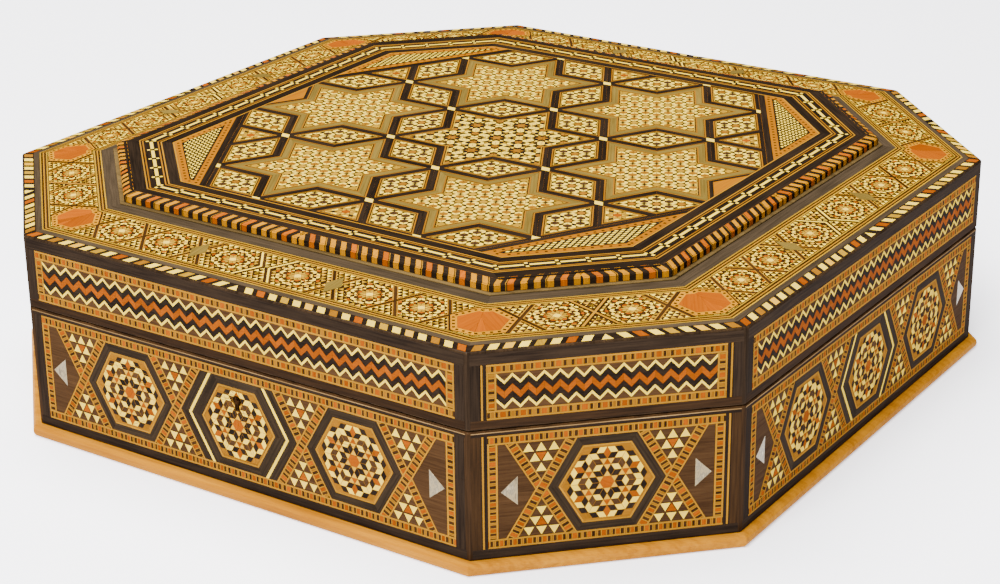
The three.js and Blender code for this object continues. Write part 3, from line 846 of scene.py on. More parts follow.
# Dashes of one round, each with its length.
CASE_CELLS = (
    ("orange", 1.3), ("line", 0.3), ("brown", 0.9), ("line", 0.25),
    ("tan", 0.45), ("line", 0.25), ("brown", 0.85), ("line", 0.3),
)
LID_CELLS = (
    ("orange", 1.6), ("line", 0.3), ("tan", 0.4), ("brown", 0.8), ("line", 0.3),
    ("tan", 0.9), ("line", 0.3), ("brown", 0.8), ("tan", 0.4), ("line", 0.3),
)
SIGNS = ((-1, -1), (-1, 1), (1, -1), (1, 1))
# The kinds of tiles in a rosette. The inner half has the first five only.
ROLES = "heart arm tip ray gap walk rim edge corner star seed leaf".split()
HEXAGON = circle(6)


def colours(woods):
    """The wood of each role, in the order of ROLES."""
    return dict(zip(ROLES, woods.split()))


def build_rosette():
    """One sixth of a rosette on a triangular lattice: the role of each tile and its corners."""
    h = LATTICE
    tiles = [
        ("tip", [(2, 0), (2.5, -h), (3, 0), (2.5, h)], 3),
        ("corner", [(5, 0), (5.5, -h), (6, 0), (5.5, h)], 6),
    ]
    for role, points, reach in (
        ("arm", [(1, 0), (2, 0), (2.5, h), (1.5, h)], 3),
        ("walk", [(3, 0), (4, 0), (3.5, h), (2.5, h)], 6),
        ("rim", [(4, 0), (5, 0), (4.5, h), (3.5, h)], 6),
        ("edge", [(5, 0), (5.5, h), (5, 2 * h), (4.5, h)], 6),
    ):
        tiles += [(role, points, reach), (role, mirrored(points, up=-1), reach)]
    return tiles + [
        ("ray", [(-0.5, h), (0.5, h), (0, 2 * h)], 3),
        ("gap", [(0, 2 * h), (0.5, 3 * h), (-0.5, 3 * h)], 3),
        ("star", [(0.5, 3 * h), (1, 4 * h), (0, 4 * h)], 6),
        ("star", [(-0.5, 3 * h), (0, 4 * h), (-1, 4 * h)], 6),
        ("seed", [(-0.5, 3 * h), (0.5, 3 * h), (0, 4 * h)], 6),
        ("leaf", [(0, 4 * h), (0.5, 5 * h), (0, 6 * h), (-0.5, 5 * h)], 6),
        ("edge", [(0, 4 * h), (1, 4 * h), (1.5, 5 * h), (0.5, 5 * h)], 6),
        ("edge", [(0, 4 * h), (-1, 4 * h), (-1.5, 5 * h), (-0.5, 5 * h)], 6),
        ("rim", [(0.5, 5 * h), (1.5, 5 * h), (1, 6 * h), (0, 6 * h)], 6),
        ("rim", [(-0.5, 5 * h), (-1.5, 5 * h), (-1, 6 * h), (0, 6 * h)], 6),
    ]


ROSETTE = build_rosette()
HALF_ROSETTE = 3
WHOLE_ROSETTE = 6


def rosette(inlay, centre, size, colours, reach=WHOLE_ROSETTE, squash=1.0, inside=()):
    """size is the lattice's edge; HALF_ROSETTE lays the inner half of the rosette only."""
    heart = moved(HEXAGON, centre, 0, size, squash)
    inlay.tile(heart, colours["heart"], RANDOM.uniform(0, 180), 1, inside, ROSETTE_JOINT)
    for sixth in range(0, 360, 60):
        for role, points, needed in ROSETTE:
            if needed <= reach:
                placed = moved(points, centre, sixth, size, squash)
                grain = sixth + 60 * RANDOM.randrange(3)
                inlay.tile(placed, colours[role], grain, 1, inside, ROSETTE_JOINT)


def hexagon_ring(inlay, centre, outer, inner, wood, level, squash=1.0, inside=()):
    """Six mitred strips between two hexagons given by their apothems."""
    big, small = outer / LATTICE, inner / LATTICE
    for index in range(6):
        a, b = HEXAGON[index], HEXAGON[(index + 1) % 6]
        points = moved([a, b], size=big) + moved([b, a], size=small)
        inlay.tile(moved(points, centre, 0, 1.0, squash), wood, index * 60 + 120, level, inside)


# The sides of the case. Heights are above the wall's foot, places along a side from its middle.

FIELD_LOW = 6.7
FIELD_HIGH = 38.5
FIELD_MIDDLE = 22.5
FRAME_BAND = 3.1
FRAME_LOW = 3.6
FRAME_HIGH = FIELD_HIGH + FRAME_BAND
ARM_WIDTH = 3.3
ROSETTE_SIZE = 2.3
# How high the pale band of painted highlight at the top of the case sides is.
TOP_LIP = 0.9
LONG_POST = 88.2
# The half length of the frame, the medallions, the crossings and the pearl points.
LONG_SIDE = (84.6, (-46.4, 0, 46.4), (26, 66.9), (75.1, 80.8))
SHORT_SIDE = (36.9, (0,), (20.4,), (27.7, 32.9))
PEARL_LOW = 17.8
PEARL_HIGH = 27.6
CHEVRONS = (16.0, "ebony_worn", 16.9, "bone", 17.95, "ebony_worn", 20.7)
SIDE_COLOURS = colours(
    "orange ebony bone cream cream walnut bone ebony tan cream orange orange"
)


def crossed(u, middle, reach, run):
    """The two lines of a crossing, each with the side that it leans to."""
    for side in (-1, 1):
        yield side, (u - side * run, middle - reach), (u + side * run, middle + reach)


def side_frame(inlay, half, low, high, band, cells):
    """A dashed frame: low and high are its outside."""
    for v in (low + band / 2, high - band / 2):
        inlay.dashes((-half, v), (half, v), band, cells)
    for side in (-1, 1):
        u = side * (half - band / 2)
        inlay.dashes((u, low + band), (u, high - band), band, cells)


def crossing(inlay, u, field):
    """Two dashed strips that cross: the second lies over the first."""
    reach = (FIELD_HIGH - FIELD_LOW) / 2 + 3
    for side, start, end in crossed(u, FIELD_MIDDLE, reach, reach / SLANT):
        inlay.dashes(start, end, ARM_WIDTH, CASE_CELLS, 2.5 + 0.5 * side, 0.5, [field])


def triangle_cluster(inlay, u):
    """Rows of three, two and one small triangles above and below a crossing."""
    spacing, pitch, half, tall, first = 3.95, 3.4, 1.65, 2.9, 12.8
    for up in (-1, 1):
        for row, count in enumerate((3, 2, 1)):
            foot = first - row * pitch
            for index in range(count):
                middle = u + (index - (count - 1) / 2) * spacing
                points = [(middle - half, foot), (middle + half, foot), (middle, foot + tall)]
                inlay.tile(mirrored(points, 1, up, FIELD_MIDDLE), "bone", 0, 1)
            if count == 2:
                points = [(u, foot + 0.1), (u + half, foot + tall), (u - half, foot + tall)]
                inlay.tile(mirrored(points, 1, up, FIELD_MIDDLE), "orange", 0, 1)


def medallion(inlay, centre, field):
    outer, line, inner = 16.1, 13.1, 12.5
    hexagon_ring(inlay, centre, outer, line, "ebony_worn", 1, inside=[field])
    hexagon_ring(inlay, centre, line, inner, "line", 1)
    inlay.tile(moved(HEXAGON, centre, 0, inner / LATTICE), "tan", 0, 0.5)
    rosette(inlay, centre, ROSETTE_SIZE, SIDE_COLOURS)


def chevrons(inlay, field):
    """Angled strips on both sides of the middle medallion, given by their apothems."""
    reach = (FIELD_HIGH - FIELD_LOW) / 2
    for inner, outer, wood in strips(CHEVRONS):
        points = slanted(inner / LATTICE, outer / LATTICE, 0, reach, -reach / SLANT)
        for side, up in SIGNS:
            placed = mirrored(points, side, up, FIELD_MIDDLE)
            inlay.tile(placed, wood, -side * up * 60, 1.5, [field])


def corner_posts(inlay, face, inner, outer, low, high, wood):
    """The upright pieces at both ends of a side, with fine lines on the short sides."""
    if is_long(face):
        marks = (inner, "ebony_rail", LONG_POST, wood, outer)
    else:
        marks = (inner, "ebony", inner + 1.1, "line", inner + 1.7, "ebony", inner + 2.1, wood, outer)
    for side in (-1, 1):
        for start, end, post in strips(marks):
            inlay.tile(rectangle(side * start, side * end, low, high), post, 90)


def case_side(face):
    half = half_length(face)
    long = is_long(face)
    frame_half, medallions, crossings, pearl = LONG_SIDE if long else SHORT_SIDE
    holes = []
    if face == "front":
        slot = KEYHOLE_SLOT / 2
        holes.append(moved(circle(KEYHOLE_STEPS), (0, KEYHOLE), 0, KEYHOLE_RADIUS))
        holes.append(rectangle(-slot, slot, KEYHOLE_FOOT, KEYHOLE))
    top = CASE_TOP - WALL_FOOT
    limit = rectangle(-half + TILE_MARGIN, half - TILE_MARGIN, 0.45, top - 0.55)
    inlay = Inlay(place_on(face, 0, WALL_FOOT), limit, holes)
    field = rectangle(-frame_half + FRAME_BAND, frame_half - FRAME_BAND, FIELD_LOW, FIELD_HIGH)
    inlay.bands(half, (0, "ebony_rail", FRAME_LOW))
    # The pale band at the very top is a painted highlight along the seam.
    inlay.bands(half, (FRAME_HIGH, "ebony_rail", top - TOP_LIP, "worn", top))
    inlay.tile(field, "walnut")
    corner_posts(inlay, face, frame_half, half, FRAME_LOW, FRAME_HIGH, "post")
    side_frame(inlay, frame_half, FRAME_LOW, FRAME_HIGH, FRAME_BAND, CASE_CELLS)
    for side in (-1, 1):
        for u in crossings:
            triangle_cluster(inlay, side * u)
            crossing(inlay, side * u, field)
        points = [(pearl[0], PEARL_LOW), (pearl[0], PEARL_HIGH), (pearl[1], FIELD_MIDDLE)]
        inlay.tile(mirrored(points, side), "pearl", 90, 1)
    for u in medallions:
        medallion(inlay, (u, FIELD_MIDDLE), field)
    if long:
        chevrons(inlay, field)
    inlay.lay("case_inlay_" + face, "case", 2 if long else 1)


# The sides of the lid.

LID_BAND = 3.0
LID_FRAME_LOW = 47.0
LID_FRAME_HIGH = 65.0
LID_FRAME_HALVES = {True: 85.0, False: 36.9}
ZIGZAG_BANDS = (("bone", 1.1), ("ebony", 2.4), ("orange", 2.3), ("ebony", 2.3), ("bone", 1.1))
ZIGZAG_RISE = 2.5
# How many slopes there are to the left and to the right of the middle.
ZIGZAG_SLOPES = {"front": (30, 33), "back": (33, 30)}
LONG_SLOPES = (33, 33)
SHORT_SLOPES = (14, 14)


def zigzag(inlay, half, high, slopes):
    """Stacked zigzag lines, each thick upright and all of one slope."""
    left, right = slopes
    places = [-half + half * index / left for index in range(left)]
    places += [half * index / right for index in range(right + 1)]
    falls = True
    for u0, u1 in zip(places, places[1:]):
        v0 = high if falls else high - ZIGZAG_RISE
        v1 = high - ZIGZAG_RISE if falls else high
        for wood, thick in ZIGZAG_BANDS:
            inlay.tile([(u0, v0 - thick), (u1, v1 - thick), (u1, v1), (u0, v0)], wood, 0, 1)
            v0 -= thick
            v1 -= thick
        falls = not falls


def lid_side(face):
    long = is_long(face)
    half = half_length(face)
    frame_half = LID_FRAME_HALVES[long]
    low, high = LID_FRAME_LOW - LID_LOW + WALL_FOOT, LID_FRAME_HIGH - LID_LOW + WALL_FOOT
    top = LID_EDGE - LID_LOW
    limit = rectangle(-half + TILE_MARGIN, half - TILE_MARGIN, 0.55, top - 0.6)
    inlay = Inlay(place_on(face, 0, LID_LOW), limit)
    inlay.bands(half, (0, "walnut_dark", low))
    inlay.bands(half, (high, "ebony_rail", top))
    inner = frame_half - LID_BAND
    inlay.tile(rectangle(-inner, inner, low + LID_BAND, high - LID_BAND), "walnut")
    corner_posts(inlay, face, frame_half, half, low, high, "ebony_rail")
    slopes = ZIGZAG_SLOPES.get(face, LONG_SLOPES if long else SHORT_SLOPES)
    zigzag(inlay, inner, high - LID_BAND - 0.1, slopes)
    side_frame(inlay, frame_half, low, high, LID_BAND, LID_CELLS)
    inlay.lay("lid_inlay_" + face, "lid", 2 if long else 1)


# The sloping border of the lid. Its heights run up the slope from the lid's edge.

MOSAIC_LOW = 9.3
MOSAIC_HIGH = 25.5
MOSAIC_MIDDLE = 17.4
MOSAIC_SQUASH = 0.83
MOSAIC_SIZE = 1.45
GROUND_SIDE = 2.25
GROUND_WOODS = ("bone", "bone", "yellow", "cream")
EDGE_DASHES = ("bone", "orange", "bone", "yellow", "bone", "cream", "bone", "tan")
BORDER_BANDS = (
    (0, "ebony", 4.2, "grey", 6.3),
    (MOSAIC_LOW, "brown", MOSAIC_HIGH),
    (28.5, "grey", 34),
    (6.3, "yellow", 6.8, "brown", 7.4, "line", 7.9, "brown", 8.6, "yellow", 9.1, "ebony", 9.3),
    (25.5, "ebony", 25.7, "yellow", 26.3, "brown", 26.9, "line", 27.4, "brown", 28.0, "yellow", 28.5),
)
# The rosettes, the crossings and the hexagon at the corner, along half a side.
LONG_BORDER = ((13.3, 41.5, 61.1), (27.5, 51.3, 71.8), 82.5)
SHORT_BORDER = ((11.7,), (22.9,), 34.3)
DIAMOND_PLACE = 27.5
BORDER_COLOURS = colours(
    "bone yellow orange cream brown brown bone brown orange bone orange cream"
)


def edge_dashes(inlay, face):
    """Slanted tiles along the edge of the lid, leaning away from the middle."""
    low, high, pitch, wide, lean, first = 0.6, 3.9, 4.75, 3.0, 1.8, 3.3
    inlay.tile([(-1.9, low), (1.9, low), (0, high)], "bone", 0, 1)
    for index in range(int(half_length(face) / pitch) + 1):
        for side in (-1, 1):
            u = first + index * pitch + lean
            points = mirrored(slanted(u, u + wide, low, high, -lean), side)
            inlay.tile(points, EDGE_DASHES[index % len(EDGE_DASHES)], 90, 1)


def mosaic_ground(inlay, half, field):
    """Rows of fine light triangles on dark ground, under everything else in the border."""
    side = GROUND_SIDE
    tall = side * LATTICE
    rows = int((MOSAIC_HIGH - MOSAIC_MIDDLE) / MOSAIC_SQUASH / tall) + 1
    for up in (-1, 1):
        for row in range(rows):
            foot = up * tall * (row + 1)
            for index in range(int(half / side) + 1):
                for end in (-1, 1):
                    x = end * side * (index + 0.5 * (row % 2) + 0.001)
                    points = [(x - side / 2, foot), (x, up * tall * row), (x + side / 2, foot)]
                    wood = GROUND_WOODS[(row + index) % len(GROUND_WOODS)]
                    placed = mirrored(points, 1, MOSAIC_SQUASH, MOSAIC_MIDDLE)
                    inlay.tile(placed, wood, 0, 0.5, [field], ROSETTE_JOINT)


def mosaic_reach():
    """Half the height of the mosaic and a bit, and how far a slanted line runs sideways in it."""
    reach = (MOSAIC_HIGH - MOSAIC_LOW) / 2 + 1
    return reach, reach / (SLANT * MOSAIC_SQUASH)


def mosaic_crossing(inlay, u, field, wide=False):
    """Two dark strips with light edges that cross between rosettes."""
    woods = (("brown", 2.1), ("line", 0.8)) if wide else (("line", 1.8), ("brown", 1.1))
    for side, start, end in crossed(u, MOSAIC_MIDDLE, *mosaic_reach()):
        for layer, (wood, width) in enumerate(woods):
            inlay.bar(start, end, width, wood, 2.25 + 0.25 * side + layer, [field])


def mosaic_divider(inlay, field):
    """Two bone chevrons back to back in the middle of a long side, each between dark lines."""
    reach, run = mosaic_reach()
    for side in (-1, 1):
        for near, far, wood in strips((0.3, "brown", 1.2, "bone", 2.1, "brown", 3.0)):
            level = 3 if wood == "bone" else 2
            for up in (-1, 1):
                points = mirrored(slanted(near, far, 0, reach, run), side, up, MOSAIC_MIDDLE)
                inlay.tile(points, wood, side * up * 60, level, [field])


def corner_hexagon(inlay, u, field):
    """An orange hexagon in two halves, in a dotted yellow frame."""
    middle = (u, MOSAIC_MIDDLE)
    outer, frame_edge, dotted, inner = 9.5, 9.2, 8.2, 7.0
    hexagon_ring(inlay, middle, outer, frame_edge, "brown", 4, MOSAIC_SQUASH, [field])
    hexagon_ring(inlay, middle, frame_edge, inner, "straw", 4, MOSAIC_SQUASH, [field])
    for turn in range(30, 390, 60):
        for step in range(4):
            v = ((step + 0.5) / 4 - 0.5) * dotted / LATTICE
            square = rectangle(dotted - 0.5, dotted + 0.5, v - 0.5, v + 0.5)
            inlay.tile(moved(square, middle, turn, 1, MOSAIC_SQUASH), "brown", 0, 5, [field])
    whole = moved(HEXAGON, middle, 0, inner / LATTICE, MOSAIC_SQUASH)
    for wood, left, right, grain in (("amber", -9, 0, 75), ("orange", 0, 9, 102)):
        half = rectangle(u + left, u + right, MOSAIC_LOW, MOSAIC_HIGH)
        inlay.tile(clip(whole, half), wood, grain, 5, [field])


def gold_diamond(inlay, u, field):
    points = [(-3.1, 0), (0, -5.5), (3.1, 0), (0, 5.5)]
    inlay.tile(moved(points, (u, MOSAIC_MIDDLE)), "gold", 90, 5, [field])


def mosaic_rosette(inlay, u, field):
    centre = (u, MOSAIC_MIDDLE)
    ground = moved(HEXAGON, centre, 30, 5.9 * MOSAIC_SIZE, MOSAIC_SQUASH)
    inlay.tile(ground, "brown", 0, 0.75, [field])
    rosette(inlay, centre, MOSAIC_SIZE, BORDER_COLOURS, squash=MOSAIC_SQUASH, inside=[field])


def border_side(face):
    long = is_long(face)
    half = half_length(face)
    low, high = 0.7, BORDER_SLOPE - 0.05
    run = BORDER_SLOPE / LEDGE_INSET
    limit = tapered(half_length(face, low / run), half_length(face, high / run), low, high)
    inlay = Inlay(place_on(face, 0, LID_EDGE, BORDER_RISE, LEDGE_INSET), limit)
    for marks in BORDER_BANDS:
        inlay.bands(half, marks)
    edge_dashes(inlay, face)
    field = clip(rectangle(-half, half, MOSAIC_LOW, MOSAIC_HIGH), limit)
    rosettes, crossings, corner = LONG_BORDER if long else SHORT_BORDER
    for side in (-1, 1):
        for u in rosettes:
            mosaic_rosette(inlay, side * u, field)
        for u in crossings:
            mosaic_crossing(inlay, side * u, field)
        corner_hexagon(inlay, side * corner, field)
        if long:
            gold_diamond(inlay, side * DIAMOND_PLACE, field)
    mosaic_ground(inlay, half, field)
    if long:
        mosaic_divider(inlay, field)
    else:
        mosaic_crossing(inlay, 0, field, wide=True)
    inlay.lay("lid_border_" + face, "lid", 2 if long else 1)


# The striped moulding round the raised panel.

STRIPE_PITCH = 4.2
# Lighter copies of lemon and amber: painted light for faces that get less light.
STRIPE_WOODS = ("straw", "ember", "straw", "straw", "straw", "ember", "straw")
STRIPE_LEAN = 2.0


def stripes(inlay, half, high, lean):
    """Upright or slanted stripes: yellow or orange, with wide dark ones in between."""
    for index in range(int(half / STRIPE_PITCH) + 2):
        lines = [(0, 2.1, STRIPE_WOODS[index % len(STRIPE_WOODS)])]
        if index % 3 == 2:
            lines.append((2.4, 2.7, "line"))
        u = STRIPE_PITCH * (index + 0.1)
        for side in (-1, 1):
            for start, end, wood in lines:
                points = mirrored(slanted(u + start, u + end, 0, high, -lean), side)
                inlay.tile(points, wood, 90, 1)


def moulding_side(face):
    """Stripes up the moulding, over its crease and, slanted, on to its top."""
    crease = PANEL_TOP - ROPE_TOP_FALL
    levels = (
        ("upright", PANEL_INSET, ROPE_FOOT, 0),
        ("crease", PANEL_INSET, crease - ROPE_CREASE, 0),
        ("top", PANEL_INSET + ROPE_CREASE, crease, STRIPE_LEAN),
        ("", STRIP_INNER, PANEL_TOP, 0),
    )
    for (name, inset, z, lean), (_, next_inset, next_z, _) in zip(levels, levels[1:]):
        run, rise = next_inset - inset, next_z - z
        slope = math.hypot(run, rise)
        outer = half_length(face, inset)
        limit = tapered(outer, half_length(face, next_inset), 0, slope)
        inlay = Inlay(place_on(face, inset, z, rise, run), limit)
        inlay.bands(outer, (0, "ebony", slope))
        stripes(inlay, outer, slope, lean)
        inlay.lay("lid_stripes_" + name + "_" + face, "lid")


# The raised panel. Insets are given for the long and for the short sides.

PANEL_HALF = 111.9
FIELD_INSETS = (53.9, 54.6)
PANEL_RINGS = (
    (38.0, 36.6), "ebony", (41.5, 42.2), "line", (42.0, 42.7), "ebony", (42.6, 43.2), "tan",
    (43.1, 43.7), "ebony", (48.0, 48.6), "tan", (48.5, 49.1), "ebony", (49.1, 49.7), "line",
    (49.6, 50.2), "ebony", (53.4, 54.0), "line", FIELD_INSETS,
)
CHAIN_MIDDLE = (45.6, 46.4)
CHAIN_PITCH = 9.35
STAR_REACH = 38.57
STAR_INRADIUS = STAR_REACH / 4
STAR_FRAME = 2.6
PANEL_ROSETTE = 1.6
CENTRE_ROSETTE = 1.57
STRIP_HALF = 1.45
FRAME_WIDTH = 2.5
HEXAGON_REACH = 96.5
# The field's left and right points have no lozenge beyond this distance.
BARE_POINT = 90
DOTTED_WIDTH = 2.6
DARK_STRIP = 2.3
CHECKER_RIM = 0.45
# Strips that run round inside an outline, by their distances from its edge.
STAR_LINES = (
    0.0, "ebony", STRIP_HALF, "tan", 1.95, "ebony", 2.15, "gold",
    4.5, "tan", 4.95, "ebony", 5.35, "yellow", 5.75,
)
CENTRE_LINES = (0.0, "ebony", STRIP_HALF, "tan", 1.95, "ebony", 2.3, "yellow", 2.7)
RHOMBUS_LINES = (0.0, "ebony", STRIP_HALF, "tan", 1.9, "ebony", 2.25, "yellow", 2.6)
STAR_COLOURS = colours("yellow bone tan ebony ebony")
RHOMBUS_COLOURS = colours("tan bone walnut ebony ebony")
CORNER_COLOURS = colours("orange yellow bone cream ebony")
CENTRE_COLOURS = colours("tan ebony bone tan bone bone bone ebony tan ebony yellow yellow")


def chain(inlay):
    """Bone bars end to end with small squares beside each joint."""
    corners = octagon_points(*CHAIN_MIDDLE)
    gap, half_bar, half_square, aside = 0.9, 0.6, 0.55, 1.35
    for a, b in zip(corners, corners[1:] + corners[:1]):
        length, turn = heading(a, b)
        count = max(round(length / CHAIN_PITCH), 1)
        pitch = length / count
        for step in range(count):
            at = step * pitch
            bar = rectangle(at + gap, at + pitch - gap, -half_bar, half_bar)
            inlay.tile(moved(bar, a, turn), "bone", turn, 1)
            for v in (-aside, aside):
                square = rectangle(at - half_square, at + half_square, v - half_square, v + half_square)
                inlay.tile(moved(square, a, turn), "bone", turn, 1)


def star_points(reach):
    points = []
    for turn in range(30, 390, 60):
        points += moved([(reach, 0)], turn=turn)
        points += moved([(reach / math.sqrt(3), 0)], turn=turn + 30)
    return points


def star_parts(centre, reach, field):
    """A six-pointed star as convex parts: its middle and its six points."""
    points = moved(star_points(reach), centre)
    parts = [points[1::2]]
    for index in range(0, 12, 2):
        parts.append([points[index - 1], points[index], points[index + 1]])
    return clipped(parts, field)


def clipped(parts, field):
    parts = [clip(turned_right(part), field) for part in parts]
    return [part for part in parts if len(part) > 2 and area(part) > SMALLEST_PART]


def nested_rings(inlay, outline, inradius, marks, field):
    middle = middle_of(outline)
    for start, end, wood in strips(marks):
        outer = towards(outline, middle, 1 - start / inradius)
        inner = towards(outline, middle, 1 - end / inradius)
        inlay.ring(outer, inner, wood, 2, [field])


def rosette_field(inlay, centre, reach, colours, inside, size=PANEL_ROSETTE, whole=HALF_ROSETTE):
    """Rosettes side by side, cut off at the outlines they are laid in."""
    for outline in inside:
        inlay.tile(outline, "ebony", 0, 0.5)
    pitch = 2 * whole * LATTICE * size
    count = int(reach / pitch) + 2
    for i in range(-count, count + 1):
        for j in range(-2 * count, 2 * count + 1):
            u = centre[0] + pitch * i * LATTICE
            v = centre[1] + pitch * (j + i / 2)
            if math.hypot(u - centre[0], v - centre[1]) < reach + pitch:
                rosette(inlay, (u, v), size, colours, whole, inside=inside)


def panel_top():
    place = Place((0, 0, PANEL_TOP), (1, 0, 0), (0, 1, 0))
    inlay = Inlay(place, rectangle(-PANEL_HALF, PANEL_HALF, -PANEL_HALF, PANEL_HALF))
    for outer, inner, wood in strips(PANEL_RINGS):
        inlay.ring(octagon_points(*outer), octagon_points(*inner), wood)
    chain(inlay)
    field = octagon_points(*FIELD_INSETS)
    hexagon = field
    for turn in (30, 150, 210, 330):
        hexagon = cut(hexagon, unit(turn), HEXAGON_REACH)
        corner_panel(inlay, field, turn)
    inlay.tile(hexagon, "lemon", 90)
    star_field(inlay, hexagon)
    inlay.lay("panel_inlay", "lid", 3, 3)


def star_field(inlay, field):
    spacing = STAR_REACH * math.sqrt(3)
    for turn in range(0, 360, 60):
        centre = moved([(spacing, 0)], turn=turn)[0]
        parts = star_parts(centre, STAR_REACH - 4 * STAR_FRAME, field)
        rosette_field(inlay, centre, STAR_REACH, STAR_COLOURS, parts)
        outline = moved(star_points(STAR_REACH), centre)
        nested_rings(inlay, outline, STAR_REACH / 2, STAR_LINES, field)
        corner_triangle(inlay, turn + 30, field)
    middle = (0.0, 0.0)
    parts = star_parts(middle, STAR_REACH - 2 * STAR_FRAME, field)
    rosette_field(inlay, middle, STAR_REACH, CENTRE_COLOURS, parts, CENTRE_ROSETTE, WHOLE_ROSETTE)
    nested_rings(inlay, star_points(STAR_REACH), STAR_REACH / 2, CENTRE_LINES, field)
    for i in range(-3, 4):
        for j in range(-3, 4):
            site = (spacing * (i + j / 2), spacing * j * LATTICE)
            for turn in (0, 60, 120):
                rhombus(inlay, moved([(spacing / 2, 0)], site, turn)[0], turn, field)
            for turn in (30, 90):
                node(inlay, moved([(STAR_REACH, 0)], site, turn)[0], field)


def node(inlay, centre, field):
    """The small bone lozenge where the dark strips meet."""
    points = [(p - q / 2, q * LATTICE) for p, q in ((1, 1), (-1, 1), (-1, -1), (1, -1))]
    inlay.tile(moved(points, centre, 0, STRIP_HALF / LATTICE), "bone", 0, 3, [field])


def rhombus(inlay, centre, turn, field):
    """The lozenge between two stars, with a small rosette in its middle."""
    if abs(centre[1]) < 1 and abs(centre[0]) > BARE_POINT:
        return
    short, long = STAR_REACH / 2 / math.sqrt(3), STAR_REACH / 2
    outline = moved([(short, 0), (0, long), (-short, 0), (0, -long)], centre, turn)
    if not clipped([outline], field):
        return
    inner = clipped([towards(outline, centre, 1 - FRAME_WIDTH / STAR_INRADIUS)], field)
    rosette_field(inlay, centre, long, RHOMBUS_COLOURS, inner)
    nested_rings(inlay, outline, STAR_INRADIUS, RHOMBUS_LINES, field)


def corner_triangle(inlay, turn, field):
    """What shows of a star beyond the field: the tip that points to the middle."""
    centre = moved([(3 * STAR_REACH, 0)], turn=turn)[0]
    points = moved(star_points(STAR_REACH), centre)
    tip = ((turn - 30) // 60 * 2 + 6) % 12
    outline = [points[tip - 1], points[tip], points[(tip + 1) % 12]]
    middle = middle_of(outline)
    inradius = STAR_REACH / 6
    inner = clipped([towards(outline, middle, 1 - FRAME_WIDTH / inradius)], field)
    rosette_field(inlay, middle, 14, CORNER_COLOURS, inner)
    nested_rings(inlay, outline, inradius, RHOMBUS_LINES, field)


def corner_panel(inlay, field, turn):
    """Between the star field and a corner: a checker in a dotted frame."""
    away = unit(turn + 180)
    whole = cut(field, away, -HEXAGON_REACH)
    inlay.tile(whole, "ebony", turn + 90)
    framed = cut(field, away, -HEXAGON_REACH - DARK_STRIP)
    inlay.tile(framed, "lemon", turn + 90, 1)
    for normal, offset in edges(framed):
        dots(inlay, framed, normal, offset - DOTTED_WIDTH / 2)
    inner = shrunk(framed, DOTTED_WIDTH)
    inlay.tile(inner, "ebony", turn, 2)
    checker(inlay, shrunk(inner, CHECKER_RIM), turn)


def dots(inlay, framed, normal, offset):
    """A row of small dark squares along the middle of one side of a frame."""
    along = (-normal[1], normal[0])
    grain = math.degrees(math.atan2(along[1], along[0]))
    reach = [dot(point, along) for point in framed]
    middle = shrunk(framed, DOTTED_WIDTH / 2 - 0.2)
    first, pitch, smallest = 2, 3.0, 0.3
    at = min(reach) + first
    while at < max(reach):
        centre = (normal[0] * offset + along[0] * at, normal[1] * offset + along[1] * at)
        square = moved(rectangle(-0.5, 0.5, -0.45, 0.45), centre, grain)
        if area(clip(square, middle)) > smallest:
            inlay.tile(square, "brown", grain, 2)
        at += pitch


def checker(inlay, inner, turn):
    """Rows of small bone lozenges on a dark ground."""
    pitch, row_pitch, count = 2.8, 2.8 * 0.42, 24
    lozenge = [(0.95, 0), (0, 0.6), (-0.95, 0), (0, -0.6)]
    middle = middle_of(inner)
    for i in range(-count, count + 1):
        for j in range(-count, count + 1):
            centre = moved([(pitch * (i + (j % 2) / 2), row_pitch * j)], middle, turn + 90)[0]
            if all(dot(normal, centre) < offset + 1 for normal, offset in edges(inner)):
                inlay.tile(moved(lozenge, centre, turn + 90), "bone", turn, 3, [inner])


# Velvet inside.

# How far the pad spreads into its clearance of 0.5 mm.
PAD_SPREAD = 0.4
PAD_CELL = 5.0
# How far from its rim a pad rises, and how far by form and by air.
PAD_EDGE = 4.0
PAD_DROP = 1.7
PAD_RISE = 0.6
PAD_SWELL = 0.9
SWELL_FRAMES = 20
SWELL_PRESSURE = 4
LINING_THICK = 1.2
LINING_ROOM = 0.03
# The lining's share of its thickness at a rim and in its middle.
LINING_EDGE = 0.35
LINING_CROWN = 0.95
CEILING_THICK = 3.0
CEILING_SAG = 0.75
LOCK_ROOM = 0.3


def velvet_object(name, bm, body, node):
    """Makes the object that shows in place of one velvet node."""
    bmesh.ops.recalc_face_normals(bm, faces=bm.faces)
    obj = add_shape(name, bm)
    obj.data.materials.append(look("velvet"))
    obj.data.shade_smooth()
    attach(obj, body)
    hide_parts(node)
    return obj


def octagon_slab(bm, inset, low, high):
    """A closed slab in the shape of the box, made of small squares."""
    half = LONG_DISTANCE - inset
    cells = round(2 * half / PAD_CELL)
    bmesh.ops.create_grid(bm, x_segments=cells, y_segments=cells, size=half * MM)
    for turn in (45, 135, 225, 315):
        normal = Vector((*unit(turn), 0))
        bmesh.ops.bisect_plane(
            bm,
            geom=bm.verts[:] + bm.edges[:] + bm.faces[:],
            plane_co=normal * (SHORT_DISTANCE - inset) * MM,
            plane_no=normal,
            clear_outer=True,
        )
    bmesh.ops.remove_doubles(bm, verts=bm.verts, dist=0.9 * MM)
    for vert in bm.verts:
        vert.co.z = low * MM
    made = bmesh.ops.extrude_face_region(bm, geom=bm.faces[:], use_keep_orig=True)
    for item in made["geom"]:
        if isinstance(item, bmesh.types.BMVert):
            item.co.z = high * MM


def from_rim(point, inset):
    """How far inside the outline at an inset a point lies, in millimetres."""
    gaps = []
    for face, turn in FACES.items():
        gaps.append(distance(face) - inset - dot(point, unit(turn)) / MM)
    return max(min(gaps), 0.0)


def eased(gap):
    """0 at the rim and near 1 well inside it."""
    return 1 - math.exp(-gap / PAD_EDGE)


